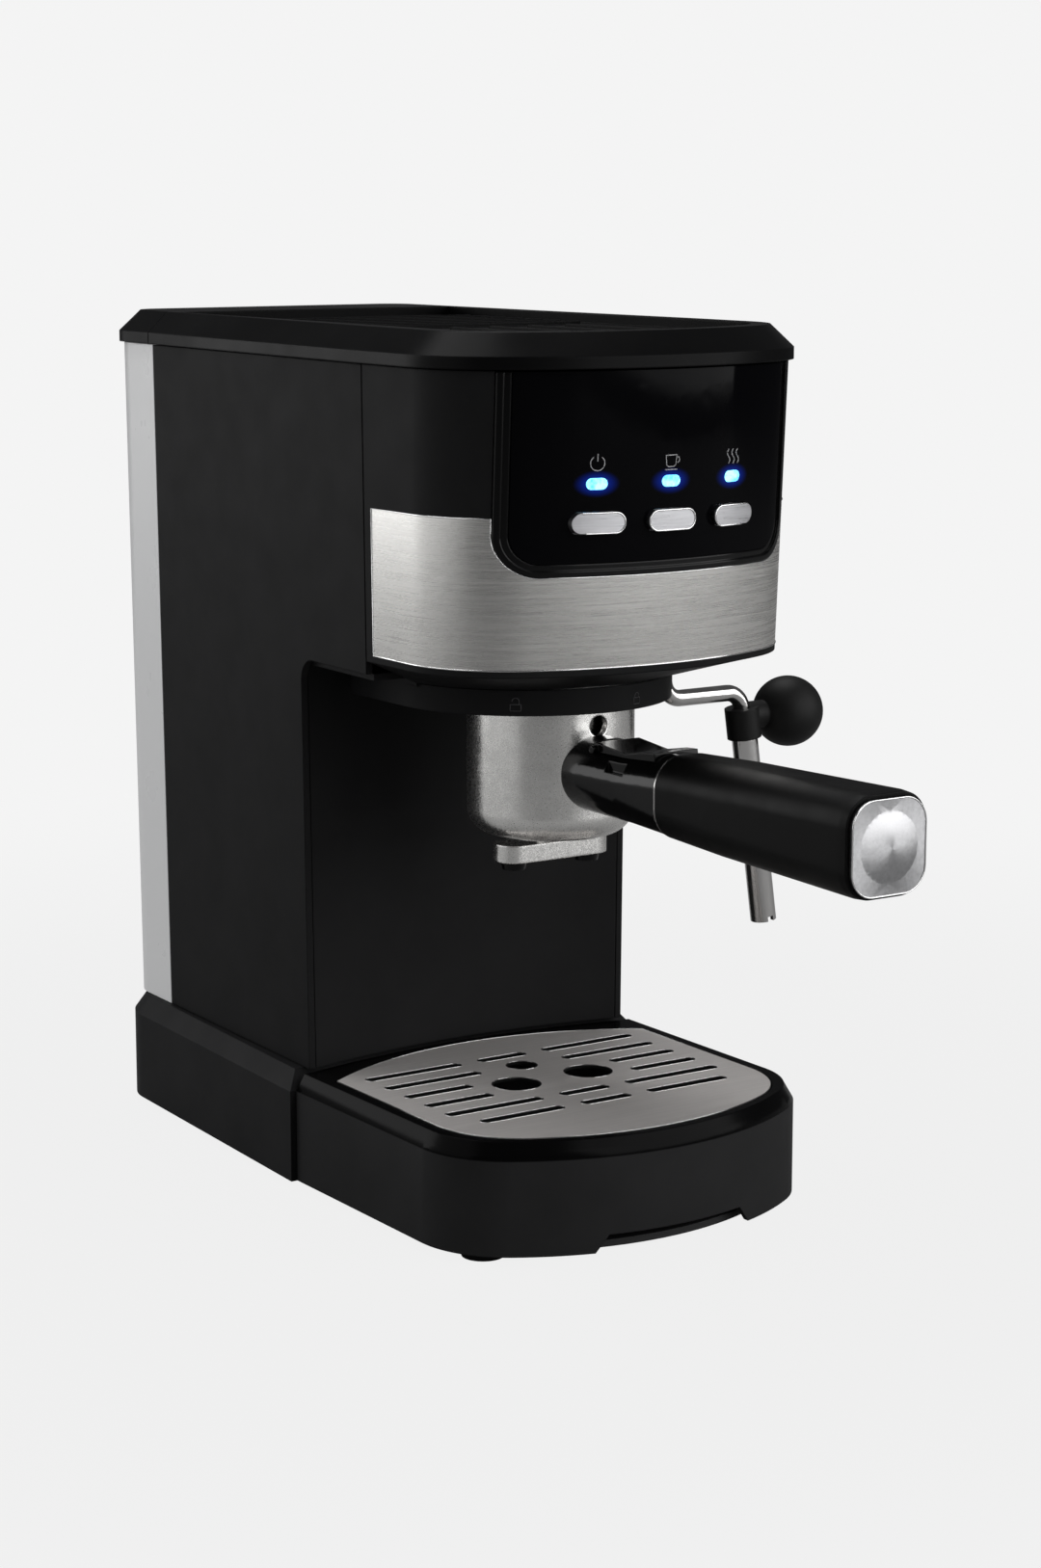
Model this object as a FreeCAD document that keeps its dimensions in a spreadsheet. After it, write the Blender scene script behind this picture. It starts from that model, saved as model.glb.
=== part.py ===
"""Pump espresso machine, built from separate parts in millimetres.

Frame: origin on the table in the centre plane, under the front face of the column, which is
near the middle of the footprint. +Z is up, the front of the machine faces -Y and +X is the
user's right hand side.
"""
import FreeCAD, Part
import math
import os

import Sketcher

Vector = FreeCAD.Vector

# Driving dimensions, in millimetres and degrees. Each one is a cell of the sheet "Sizes".
DIMENSIONS = {
    # body and head
    "foot_height": 3.5,
    "base_top": 43.0,
    "base_bevel": 36.5,
    "body_top": 293.5,
    "body_half": 71.5,
    "body_draft": 0.010,
    "head_front": 134.4,
    "head_lean": 0.046,
    "head_arc": 118.0,
    "head_corner": 38.7,
    "head_seam": 58.0,
    "side_slant": 0.034,
    "side_rear": 101.0,
    "column_front": 11.0,
    "column_hollow": 8.3,
    "wall": 2.5,
    "gap": 0.3,
    # head details
    "shell_bottom": 195.0,
    "panel_bottom": 190.5,
    "band_bottom": 197.4,
    "band_top": 246.5,
    "band_rear": 62.8,
    "band_thick": 0.8,
    "bezel_half": 58.0,
    "bezel_bottom": 227.6,
    "fascia_half": 53.6,
    "fascia_bottom": 231.7,
    "fascia_thick": 2.2,
    "button_pitch": 27.0,
    "button_length": 18.0,
    "button_tall": 6.6,
    "button_level": 244.8,
    "button_proud": 1.9,
    "led_length": 7.2,
    "led_tall": 3.8,
    "led_level": 257.3,
    "board_front": 112.0,
    # brewing group
    "group_place": 63.4,
    "collar_half": 50.5,
    "collar_place": 48.5,
    "collar_bottom": 177.0,
    "chin_bottom": 186.0,
    "lug_outer": 34.0,
    # portafilter
    "cup_outer": 29.0,
    "cup_wall": 2.6,
    "cup_floor": 131.0,
    "cup_rim": 185.2,
    "handle_level": 155.4,
    "handle_end": 245.0,
    "grip_start": 143.0,
    "spout_pitch": 15.2,
    "guard_hinge": 103.6,
    # steam wand
    "wand_pivot_x": 58.0,
    "wand_pivot_y": 50.0,
    "wand_level": 170.0,
    "wand_tube": 3.0,
    "wand_reach": 92.2,
    "wand_lean": 0.1418,
    "ball_radius": 13.0,
    # top
    "lip_bottom": 293.9,
    "lip_top": 297.9,
    "cover_top": 305.5,
    "lip_overhang": 1.8,
    "lid_hinge": 295.7,
    "cover_bevel": 8.0,
    # base and tray
    "base_half": 75.6,
    "base_rear": 140.5,
    "tray_half": 73.6,
    "tray_front": 142.0,
    "tray_arc": 108.0,
    "tray_corner": 35.0,
    "tray_rear": 12.3,
    "tray_rim": 42.4,
    "grate_half": 65.8,
    "grate_front": 134.8,
    "slot_pitch": 13.1,
    "slot_first": 32.4,
    "slot_width": 4.8,
    # tank
    "tank_front": 101.4,
    "tank_rear": 138.6,
    "tank_wall": 2.0,
    "tank_corner": 17.0,
}

document = FreeCAD.newDocument("EspressoMachine")
sheet = document.addObject("Spreadsheet::Sheet", "Sizes")


class Size:
    """A length that keeps the sheet expression it comes from."""

    def __init__(self, value, text):
        self.value = value
        self.text = text

    def __add__(self, other):
        other = size(other)
        return Size(self.value + other.value, f"({self.text} + {other.text})")

    def __radd__(self, other):
        return size(other) + self

    def __sub__(self, other):
        other = size(other)
        return Size(self.value - other.value, f"({self.text} - {other.text})")

    def __rsub__(self, other):
        return size(other) - self

    def __mul__(self, other):
        other = size(other)
        return Size(self.value * other.value, f"({self.text} * {other.text})")

    def __rmul__(self, other):
        return size(other) * self

    def __truediv__(self, other):
        other = size(other)
        return Size(self.value / other.value, f"({self.text} / {other.text})")

    def __neg__(self):
        return Size(-self.value, f"(0 - {self.text})")

    def root(self):
        return Size(math.sqrt(self.value), f"sqrt({self.text})")


def size(thing):
    """A plain number becomes a Size with no cell behind it."""
    if isinstance(thing, Size):
        return thing
    return Size(float(thing), f"({float(thing):.6f})")


class Cells:
    """The sheet's cells as attributes, so that D.wall is the wall thickness."""

    def __init__(self, dimensions):
        for row, (alias, value) in enumerate(dimensions.items(), start=1):
            sheet.set(f"A{row}", alias)
            sheet.set(f"B{row}", str(value))
            sheet.setAlias(f"B{row}", alias)
            setattr(self, alias, Size(value, f"Sizes.{alias}"))


D = Cells(DIMENSIONS)
document.recompute()

nodes = []          # every finished sub-part, in the order it is built

PLANES = {
    "XY": FreeCAD.Rotation(),
    "XZ": FreeCAD.Rotation(Vector(1, 0, 0), 90),
    "YZ": FreeCAD.Rotation(Vector(1, 1, 1), 120),
}
AXES = {
    "Z": FreeCAD.Rotation(),
    "-Z": FreeCAD.Rotation(Vector(1, 0, 0), 180),
    "Y": FreeCAD.Rotation(Vector(1, 0, 0), -90),
    "-Y": FreeCAD.Rotation(Vector(1, 0, 0), 90),
    "X": FreeCAD.Rotation(Vector(0, 1, 0), 90),
}


# ---------------------------------------------------------------- helpers

def bind(thing, prop, value):
    """Give a property its value and its sheet expression."""
    value = size(value)
    if not prop.startswith("Placement"):
        setattr(thing, prop, value.value)
    thing.setExpression(prop, value.text)


def place(thing, at, rotation=None):
    """Put an object at a point whose coordinates are bound to the sheet."""
    x, y, z = (size(part) for part in at)
    turn = rotation or FreeCAD.Rotation()
    thing.Placement = FreeCAD.Placement(Vector(x.value, y.value, z.value), turn)
    for axis, part in zip("xyz", (x, y, z)):
        thing.setExpression(f"Placement.Base.{axis}", part.text)


def arc_centre(start, end, radius, turn):
    """Centre of the minor arc from start to end, turn +1 anticlockwise and -1 clockwise."""
    middle = (start + end) * 0.5
    chord = end - start
    half = chord.Length / 2
    away = math.sqrt(max(radius * radius - half * half, 0.0))
    normal = Vector(-chord.y, chord.x, 0).normalize()
    return middle + normal * away * turn


def profile(name, path, at=(0, 0, 0), plane="XY"):
    """Closed sketch. path is a list of (x, y) corners; a corner with two more entries,
    (x, y, radius, turn), is reached by an arc from the corner before it."""
    sketch = document.addObject("Sketcher::SketchObject", name)
    count = len(path)
    points = []
    for corner in path:
        points.append(Vector(size(corner[0]).value, size(corner[1]).value, 0))
    limits = []
    for index in range(count):
        start = points[index]
        end = points[(index + 1) % count]
        arrival = path[(index + 1) % count]
        if len(arrival) == 4:
            radius = size(arrival[2])
            turn = arrival[3]
            centre = arc_centre(start, end, radius.value, turn)
            first = math.atan2(start.y - centre.y, start.x - centre.x)
            last = math.atan2(end.y - centre.y, end.x - centre.x)
            if turn < 0:
                first, last = last, first
            circle = Part.Circle(centre, Vector(0, 0, 1), radius.value)
            sketch.addGeometry(Part.ArcOfCircle(circle, first, last), False)
            limits.append(("arc", radius, turn))
        else:
            sketch.addGeometry(Part.LineSegment(start, end), False)
            limits.append(("line", None, 1))
    for index, (kind, radius, turn) in enumerate(limits):
        following = (index + 1) % count
        own_end = 2 if turn > 0 else 1
        next_start = 1 if limits[following][2] > 0 else 2
        own_start = 1 if turn > 0 else 2
        sketch.addConstraint(Sketcher.Constraint("Coincident", index, own_end, following, next_start))
        for word, value in (("DistanceX", path[index][0]), ("DistanceY", path[index][1])):
            value = size(value)
            number = sketch.addConstraint(Sketcher.Constraint(word, index, own_start, value.value))
            if "Sizes" in value.text:
                sketch.setExpression(f"Constraints[{number}]", value.text)
        if kind == "arc":
            number = sketch.addConstraint(Sketcher.Constraint("Radius", index, radius.value))
            if "Sizes" in radius.text:
                sketch.setExpression(f"Constraints[{number}]", radius.text)
    place(sketch, at, PLANES[plane])
    return sketch


def extrude(name, sketch, length, both=False):
    """Solid along the sketch's own normal."""
    solid = document.addObject("Part::Extrusion", name)
    solid.Base = sketch
    solid.DirMode = "Normal"
    bind(solid, "LengthFwd", length)
    solid.Solid = True
    solid.Symmetric = both
    return solid


def loft(name, *sections):
    """Ruled solid through closed sketches that have the same number of corners."""
    solid = document.addObject("Part::Loft", name)
    solid.Sections = list(sections)
    solid.Solid = True
    solid.Ruled = True
    return solid


def revolve(name, sketch, at, direction=(0, 0, 1), angle=360.0):
    """Solid of revolution about an axis through a point."""
    solid = document.addObject("Part::Revolution", name)
    solid.Source = sketch
    solid.Axis = Vector(*direction)
    x, y, z = (size(part) for part in at)
    solid.Base = Vector(x.value, y.value, z.value)
    for axis, part in zip("xyz", (x, y, z)):
        solid.setExpression(f"Base.{axis}", part.text)
    solid.Angle = angle
    solid.Solid = True
    return solid


def box(name, lengths, corner, rotation=None):
    solid = document.addObject("Part::Box", name)
    for prop, value in zip(("Length", "Width", "Height"), lengths):
        bind(solid, prop, value)
    place(solid, corner, rotation)
    return solid


def cylinder(name, radius, height, at, axis="Z"):
    solid = document.addObject("Part::Cylinder", name)
    bind(solid, "Radius", radius)
    bind(solid, "Height", height)
    place(solid, at, AXES[axis])
    return solid


def cone(name, low, high, height, at, axis="Z"):
    solid = document.addObject("Part::Cone", name)
    bind(solid, "Radius1", low)
    bind(solid, "Radius2", high)
    bind(solid, "Height", height)
    place(solid, at, AXES[axis])
    return solid


def sphere(name, radius, at):
    solid = document.addObject("Part::Sphere", name)
    bind(solid, "Radius", radius)
    place(solid, at)
    return solid


def torus(name, ring, section, at, axis="Z"):
    solid = document.addObject("Part::Torus", name)
    bind(solid, "Radius1", ring)
    bind(solid, "Radius2", section)
    place(solid, at, AXES[axis])
    return solid


def fuse(name, *parts):
    solid = document.addObject("Part::MultiFuse", name)
    solid.Shapes = list(parts)
    solid.Refine = True
    return solid


def common(name, *parts):
    solid = document.addObject("Part::MultiCommon", name)
    solid.Shapes = list(parts)
    return solid


def cut(name, base, *tools):
    """Base with every tool taken away."""
    tool = tools[0]
    if len(tools) > 1:
        tool = document.addObject("Part::Compound", name + "_tools")
        tool.Links = list(tools)
    solid = document.addObject("Part::Cut", name)
    solid.Base = base
    solid.Tool = tool
    return solid


def group(name, *parts):
    """Separate solids that share one node."""
    solid = document.addObject("Part::Compound", name)
    solid.Links = list(parts)
    return solid


def mirrored(name, source):
    """Mirror image across the centre plane."""
    solid = document.addObject("Part::Mirroring", name)
    solid.Source = source
    solid.Normal = Vector(1, 0, 0)
    return solid


def rounded(name, source, radius, chooser):
    """Fillet the edges that chooser accepts."""
    document.recompute()
    solid = document.addObject("Part::Fillet", name)
    solid.Base = source
    picked = []
    for number, edge in enumerate(source.Shape.Edges, start=1):
        if chooser(edge):
            picked.append((number, radius, radius))
    solid.Edges = picked
    return solid


def finish(label, solid):
    """Name a sub-part: its label is its file name."""
    solid.Label = label
    nodes.append(solid)
    return solid


def tube_shape(points, radius, bend):
    """Round rod along straight runs joined by tangent arcs of one bend radius."""
    vectors = [Vector(*point) for point in points]
    edges = []
    start = vectors[0]
    for before, corner, after in zip(vectors, vectors[1:], vectors[2:]):
        inward = (corner - before).normalize()
        outward = (after - corner).normalize()
        turn = inward.getAngle(outward)
        leg = bend * math.tan(turn / 2)
        first = corner - inward * leg
        last = corner + outward * leg
        bisector = (outward - inward).normalize()
        middle = corner + bisector * (bend / math.cos(turn / 2) - bend)
        edges.append(Part.LineSegment(start, first).toShape())
        edges.append(Part.Arc(first, middle, last).toShape())
        start = last
    edges.append(Part.LineSegment(start, vectors[-1]).toShape())
    spine = Part.Wire(edges)
    direction = vectors[1] - vectors[0]
    section = Part.Wire([Part.Circle(vectors[0], direction, radius).toShape()])
    return spine.makePipeShell([section], True, True)


def tube(name, points, radius, bend, bore=0.0):
    """Pipe as a plain feature, hollow when bore is not zero."""
    values = []
    for point in points:
        values.append([size(part).value for part in point])
    shape = tube_shape(values, size(radius).value, bend)
    if bore:
        shape = shape.cut(tube_shape(values, bore, bend))
    solid = document.addObject("Part::Feature", name)
    solid.Shape = shape
    solid.Placement = FreeCAD.Placement()
    return solid


# ---------------------------------------------------------------- outlines

def half_at(level):
    """Half-width of the body at a height: the sides draw in a little towards the base."""
    return D.body_half - D.body_draft * (D.body_top - level)


def front_at(level):
    """Distance of the head's front face from the origin: it leans out a little at the top."""
    return D.head_front - D.head_lean * (D.body_top - level)


def round_front(half, front, arc, corner, rear):
    """D-shaped plan: a large front arc, two corner arcs and straight sides to the rear."""
    half = size(half)
    front = size(front)
    arc = size(arc)
    corner = size(corner)
    across = half - corner
    reach = arc - corner
    back = (reach * reach - across * across).root()
    corner_y = arc - front - back
    touch_x = across * arc / reach
    touch_y = arc - front - back * arc / reach
    return [
        (-half, rear),
        (-half, corner_y),
        (-touch_x, touch_y, corner, 1),
        (touch_x, touch_y, arc, 1),
        (half, corner_y, corner, 1),
        (half, rear),
    ]


def head_section(name, level, inset, rear):
    """Plan of the head at a height, moved in from the outer skin by inset."""
    level = size(level)
    path = round_front(
        half_at(level) - inset, front_at(level) - inset, D.head_arc - inset,
        D.head_corner - inset, rear,
    )
    return profile(name, path, (0, 0, level))


def head_block(name, low, high, inset, rear):
    """Solid head between two heights, moved in from the outer skin by inset."""
    return loft(name, head_section(name + "_low", low, inset, rear),
                head_section(name + "_high", high, inset, rear))


def pill(length, tall, centre_x, centre_z):
    """Slot outline with round ends, on a plane seen from the front."""
    radius = size(tall) / 2
    reach = size(length) / 2 - radius
    left = size(centre_x) - reach
    right = size(centre_x) + reach
    low = size(centre_z) - radius
    high = size(centre_z) + radius
    top_left = (left, high)
    return [top_left, (left - radius, centre_z, radius, 1), (left, low, radius, 1), (right, low),
            (right + radius, centre_z, radius, 1), (right, high, radius, 1)]


def window(half, low, high, corner):
    """Outline with two round lower corners, seen from the front."""
    half = size(half)
    low = size(low)
    corner = size(corner)
    return [
        (-half, high), (-half, low + corner), (-half + corner, low, corner, 1),
        (half - corner, low), (half, low + corner, corner, 1), (half, high),
    ]


def front_prism(name, path, near, depth):
    """Prism of a front-view outline: starts at y = -near and runs back by depth."""
    sketch = profile(name + "_sketch", path, (0, depth - size(near), 0), "XZ")
    return extrude(name, sketch, depth)


BUTTON_PLACES = (("power_button", -1), ("brew_button", 0), ("steam_button", 1))


# ---------------------------------------------------------------- base

def base_path(inset, rear_inset=None):
    """Plan of the rear base: its front edge follows the hollow of the column."""
    rear_inset = inset if rear_inset is None else rear_inset
    inset = size(inset)
    half = D.base_half - inset
    narrow = half - 6.2
    corner = 26 - inset
    rear = D.base_rear - rear_inset
    front = -(D.column_front + 0.6) + inset
    wing = D.body_half - 4.5 - inset
    hollow = D.column_hollow
    arc = (wing * wing + hollow * hollow) / (2 * hollow)
    return [
        (-half, front), (-wing, front), (0, front + hollow, arc, -1), (wing, front, arc, -1),
        (half, front), (narrow, rear - corner), (narrow - corner, rear, corner, 1),
        (-(narrow - corner), rear), (-narrow, rear - corner, corner, 1),
    ]


BASE_SCREWS = ((-60, 8), (60, 8), (-26, 124), (22, 124))


def build_base():
    lower = extrude("base_lower", profile("base_outline", base_path(0), (0, 0, D.foot_height)),
                    D.base_bevel - D.foot_height)
    upper = loft("base_upper", profile("base_step", base_path(0), (0, 0, D.base_bevel)),
                 profile("base_shoulder", base_path(5, 4.5), (0, 0, D.base_top)))
    outer = fuse("base_outer", lower, upper)
    hollow = extrude("base_hollow", profile("base_inner", base_path(D.wall), (0, 0, 0)),
                     D.base_bevel - 1)
    vault = loft("base_vault",
                 profile("vault_low", base_path(D.wall), (0, 0, D.base_bevel - 1)),
                 profile("vault_high", base_path(8, 8), (0, 0, D.base_top - D.wall)))
    tongue_way = box("tongue_way", (137, 40, 5), (-68.5, -30, 2))
    hose_way = box("hose_way", (60, 44, 8), (-30, 22, 38))
    dock_way = cylinder("dock_way", 9, 10, (0, 119, 37))
    inlet_way = cylinder("inlet_way", 5, 20, (38, 130, 20), "Y")
    shell = cut("base_shell", outer, hollow, vault, tongue_way, hose_way, dock_way, inlet_way)
    finish("base_housing", shell)

    rear_outline = profile("rear_plate_path", base_path(D.wall + D.gap), (0, 0, D.foot_height))
    rear_plate = extrude("rear_plate", rear_outline, 2.4)
    tongue_path = round_front(D.tray_half - 6.5, D.tray_front - 6.5, D.tray_arc - 6.5,
                              D.tray_corner - 6.5, 4)
    tongue = extrude("tongue", profile("tongue_path", tongue_path, (0, 0, D.foot_height)), 2.4)
    vents = []
    for index in range(5):
        vent_path = profile(f"vent_path_{index}", pill(35, 3, 0, 52 + 9 * index))
        vents.append(extrude(f"vent_{index}", vent_path, 8))
    for index, (x, y) in enumerate(BASE_SCREWS):
        vents.append(cylinder(f"screw_way_{index}", 1.65, 8, (x, y, 0)))
    plate = cut("base_plate_cut", fuse("base_plate_full", rear_plate, tongue), *vents)
    finish("base_plate", plate)

    feet = []
    for index, (x, y, radius) in enumerate(
            ((-57, -108, 8.5), (57, -108, 8.5), (-50, 112, 8.5), (50, 112, 8.5), (0, -119, 5))):
        feet.append(cone(f"foot_{index}", radius - 1.2, radius, D.foot_height, (x, y, 0)))
    finish("rubber_feet", group("feet", *feet))

    screws = []
    for index, (x, y) in enumerate(BASE_SCREWS):
        head = cylinder(f"base_screw_head_{index}", 3.2, 1.6, (x, y, D.foot_height - 1.6))
        post = cylinder(f"base_screw_{index}", 1.6, 14, (x, y, D.foot_height))
        screws.append(fuse(f"base_screw_whole_{index}", head, post))
    finish("base_screws", group("base_screw_set", *screws))

    gland = fuse("gland_whole", cylinder("gland_flange", 7.5, 2, (38, D.base_rear + 0.1, 20), "Y"),
                 cylinder("gland_stem", 4.8, 9, (38, D.base_rear - 8.9, 20), "Y"))
    gland_bore = cylinder("gland_bore", 3.2, 14, (38, D.base_rear - 10, 20), "Y")
    finish("cord_inlet_gland", cut("gland_cut", gland, gland_bore))


# ---------------------------------------------------------------- body

def build_sides():
    """Flat side panels, turned so that they draw in towards the rear and towards the base."""
    seam = D.head_seam
    low = D.base_top + D.gap - D.body_top
    shelf = D.panel_bottom - D.body_top
    corner = 8.0
    front = seam - D.column_front
    path = [
        (front, low), (front + D.side_rear + D.column_front, low),
        (front + D.side_rear + D.column_front, 0), (D.gap, 0), (D.gap, shelf),
        (front - corner, shelf), (front, shelf - corner, corner, -1),
    ]
    sketch = profile("side_path", path, (0, 0, 0), "YZ")
    panel = extrude("side_sheet", sketch, D.wall)
    yaw = math.degrees(math.atan(DIMENSIONS["side_slant"]))
    pitch = math.degrees(math.atan(DIMENSIONS["body_draft"]))
    turn = FreeCAD.Rotation(Vector(0, 0, 1), yaw).multiply(FreeCAD.Rotation(Vector(0, 1, 0), pitch))
    holder = group("right_side_sheet", panel)
    place(holder, (D.body_half - D.wall, -D.head_seam, D.body_top), turn)
    knob_way = cylinder("knob_way", 4.2, 30, (60, -22, 246), "X")
    finish("right_side_panel", cut("right_side_cut", holder, knob_way))
    plain = group("left_side_sheet", panel)
    place(plain, (D.body_half - D.wall, -D.head_seam, D.body_top), turn)
    finish("left_side_panel", mirrored("left_side_mirror", plain))


def column_section(name, level):
    """Curved plate of the column's front, hollow towards the user, at a height."""
    half = half_at(level) - D.wall - 1.9
    hollow = D.column_hollow
    arc = (half * half + hollow * hollow) / (2 * hollow)
    front = -D.column_front
    back = front + D.wall
    path = [
        (half, front), (half, back), (0, back + hollow, arc, 1), (-half, back, arc, 1),
        (-half, front), (0, front + hollow, arc, -1),
    ]
    closing = (half, front, arc, -1)
    return profile(name, [closing] + path[1:], (0, 0, level))


def build_column():
    low = D.base_top + D.gap
    high = D.panel_bottom - 2.7
    plate = loft("column_plate", column_section("column_low", low), column_section("column_high", high))
    finish("column_front_panel", plate)
    outline = [(-60.6, low), (60.6, low), (62.9, D.body_top - D.gap), (-62.9, D.body_top - D.gap)]
    wall = front_prism("bay_wall", outline, -97.5, D.wall)
    rib = box("bay_rib", (40, 6, 10), (-20, 91.6, 150))
    finish("tank_bay_wall", fuse("bay_wall_whole", wall, rib))


def build_head_shell():
    rear = -(D.head_seam + D.gap)
    outer = head_block("shell_outer", D.shell_bottom, D.body_top, 0, rear)
    inner = head_block("shell_inner", D.shell_bottom - 5, D.body_top + 5, D.wall, -40)
    around = head_block("recess_around", D.band_bottom - 0.2, D.band_top + 0.2, -4, -D.band_rear + 0.2)
    core = head_block("recess_core", D.band_bottom - 5, D.band_top + 5, D.band_thick + 0.1, -30)
    recess = cut("band_recess", around, core)
    opening_path = window(D.bezel_half + 0.15, D.bezel_bottom - 0.15, 310, 13.5)
    opening = front_prism("bezel_opening", opening_path, 160, 60)
    finish("head_front_shell", cut("shell_cut", outer, inner, recess, opening))

    band_out = head_block("band_outer", D.band_bottom, D.band_top, 0, -D.band_rear)
    band_in = head_block("band_inner", D.band_bottom - 5, D.band_top + 5, D.band_thick, -30)
    notch = front_prism("band_notch", window(D.bezel_half + 0.3, D.bezel_bottom - 0.3, 310, 13.8), 160, 60)
    finish("steel_band", cut("band_cut", band_out, band_in, notch))

    ridge = cut("ridge_ring",
                front_prism("ridge_full", window(D.bezel_half, D.bezel_bottom, D.body_top - 0.3, 13.4),
                            160, 60),
                front_prism("ridge_hole", window(D.bezel_half - 1.9, D.bezel_bottom + 1.9, 310, 11.5),
                            170, 80))
    lower_ring = cut("lower_ring",
                     front_prism("ring_full", window(D.bezel_half - 1.9, D.bezel_bottom + 1.9,
                                                     D.body_top - 0.3, 11.5), 160, 60),
                     front_prism("ring_hole", window(D.fascia_half + 0.1, D.fascia_bottom - 0.1,
                                                     310, 9.5), 170, 80))
    proud = cut("bezel_proud", head_block("proud_out", 215, D.body_top, -0.5, -40),
                head_block("proud_in", 210, D.body_top + 5, 3.0, -30))
    flush = cut("bezel_flush", head_block("flush_out", 215, D.body_top, 0.3, -40),
                head_block("flush_in", 210, D.body_top + 5, 3.0, -30))
    finish("panel_bezel", fuse("bezel_whole", common("bezel_ridge", ridge, proud),
                               common("bezel_ring", lower_ring, flush)))


def build_panel():
    """Glossy control panel, its lenses, buttons, board and switches."""
    skin = cut("fascia_skin", head_block("fascia_out", 220, D.body_top - 0.3, 0.1, -40),
               head_block("fascia_in", 215, D.body_top + 5, 0.1 + D.fascia_thick, -30))
    blank = front_prism("fascia_blank", window(D.fascia_half - 0.1, D.fascia_bottom + 0.1, 310, 9.4), 160, 60)
    holes = []
    lenses = []
    for index, (label, side) in enumerate(BUTTON_PLACES):
        middle = side * D.button_pitch
        holes.append(front_prism(f"button_hole_{index}", pill(D.button_length + 0.7, D.button_tall + 0.7,
                                                              middle, D.button_level), 165, 70))
        holes.append(front_prism(f"lens_hole_{index}", pill(D.led_length, D.led_tall,
                                                            middle, D.led_level), 165, 70))
        lenses.append(front_prism(f"lens_{index}", pill(D.led_length - 0.1, D.led_tall - 0.1,
                                                        middle, D.led_level), 160, 60))
    finish("control_fascia", cut("fascia_cut", common("fascia_plate", skin, blank), *holes))
    lens_skin = cut("lens_skin", head_block("lens_out", 250, 262, 0.0, -40),
                    head_block("lens_in", 245, 267, 5.0, -30))
    finish("led_lenses", common("lens_set", group("lens_rods", *lenses), lens_skin))

    board_front = D.board_front
    board = box("board_plate", (96, 1.6, 34), (-48, -board_front, 236))
    finish("control_board", board)
    switches = []
    for index, (label, side) in enumerate(BUTTON_PLACES):
        middle = side * D.button_pitch
        case = box(f"switch_case_{index}", (6, 3.6, 6), (middle - 3, -board_front - 3.7, D.button_level - 3))
        plunger = cylinder(f"switch_plunger_{index}", 1.7, 1.0,
                           (middle, -board_front - 3.7, D.button_level), "-Y")
        switches.append(fuse(f"switch_{index}", case, plunger))
    finish("microswitches", group("switch_set", *switches))

    for index, (label, side) in enumerate(BUTTON_PLACES):
        middle = side * D.button_pitch
        rod_path = pill(D.button_length, D.button_tall, middle, D.button_level)
        rod = front_prism(f"cap_rod_{index}", rod_path, 160, 60)
        cap_skin = cut(f"cap_skin_{index}", head_block(f"cap_out_{index}", 238, 251, -D.button_proud, -40),
                       head_block(f"cap_in_{index}", 233, 256, 4.2, -30))
        cap = common(f"cap_{index}", rod, cap_skin)
        flange_rod = front_prism(f"flange_rod_{index}", pill(D.button_length + 3, D.button_tall + 2.6,
                                                             middle, D.button_level), 160, 60)
        flange_skin = cut(f"flange_skin_{index}", head_block(f"flange_out_{index}", 236, 253, 2.9, -40),
                          head_block(f"flange_in_{index}", 231, 258, 4.2, -30))
        flange = common(f"flange_{index}", flange_rod, flange_skin)
        stem_tip = board_front + 3.7 + 1.0 + 1.8
        stem = box(f"stem_{index}", (4, 14, 4), (middle - 2, -stem_tip - 14, D.button_level - 2))
        stem_part = common(f"stem_part_{index}", stem, head_block(f"stem_limit_{index}", 236, 253, 3.0, -40))
        finish(label, fuse(f"{label}_whole", cap, flange, stem_part))


# ---------------------------------------------------------------- group

def collar_path(inset, rear):
    """Collar plan: a half circle in front and straight sides behind it."""
    inset = size(inset)
    half = D.collar_half - inset
    centre = -D.collar_place
    return [
        (-half, rear), (-half, centre), (0, centre - half, half, 1), (half, centre, half, 1),
        (half, rear),
    ]


def chin_top_path(inset, level):
    """Full head outline again, with the corner points that the collar plan has."""
    level = size(level)
    return round_front(half_at(level) - inset, front_at(level) - inset, D.head_arc - inset,
                       D.head_corner - inset, -D.head_seam - 0.3)


def chin_low_path(inset):
    """Collar outline split at the same places as the head outline."""
    inset = size(inset)
    half = D.collar_half - inset
    centre = -D.collar_place
    share = 0.62
    side = half * share
    ahead = (half * half - side * side).root()
    return [
        (-half, -D.head_seam - 0.3), (-half + 1.0, -D.head_seam - 3.3), (-side, centre - ahead, half, 1),
        (side, centre - ahead, half, 1), (half - 1.0, -D.head_seam - 3.3, half, 1),
        (half, -D.head_seam - 0.3),
    ]


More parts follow.
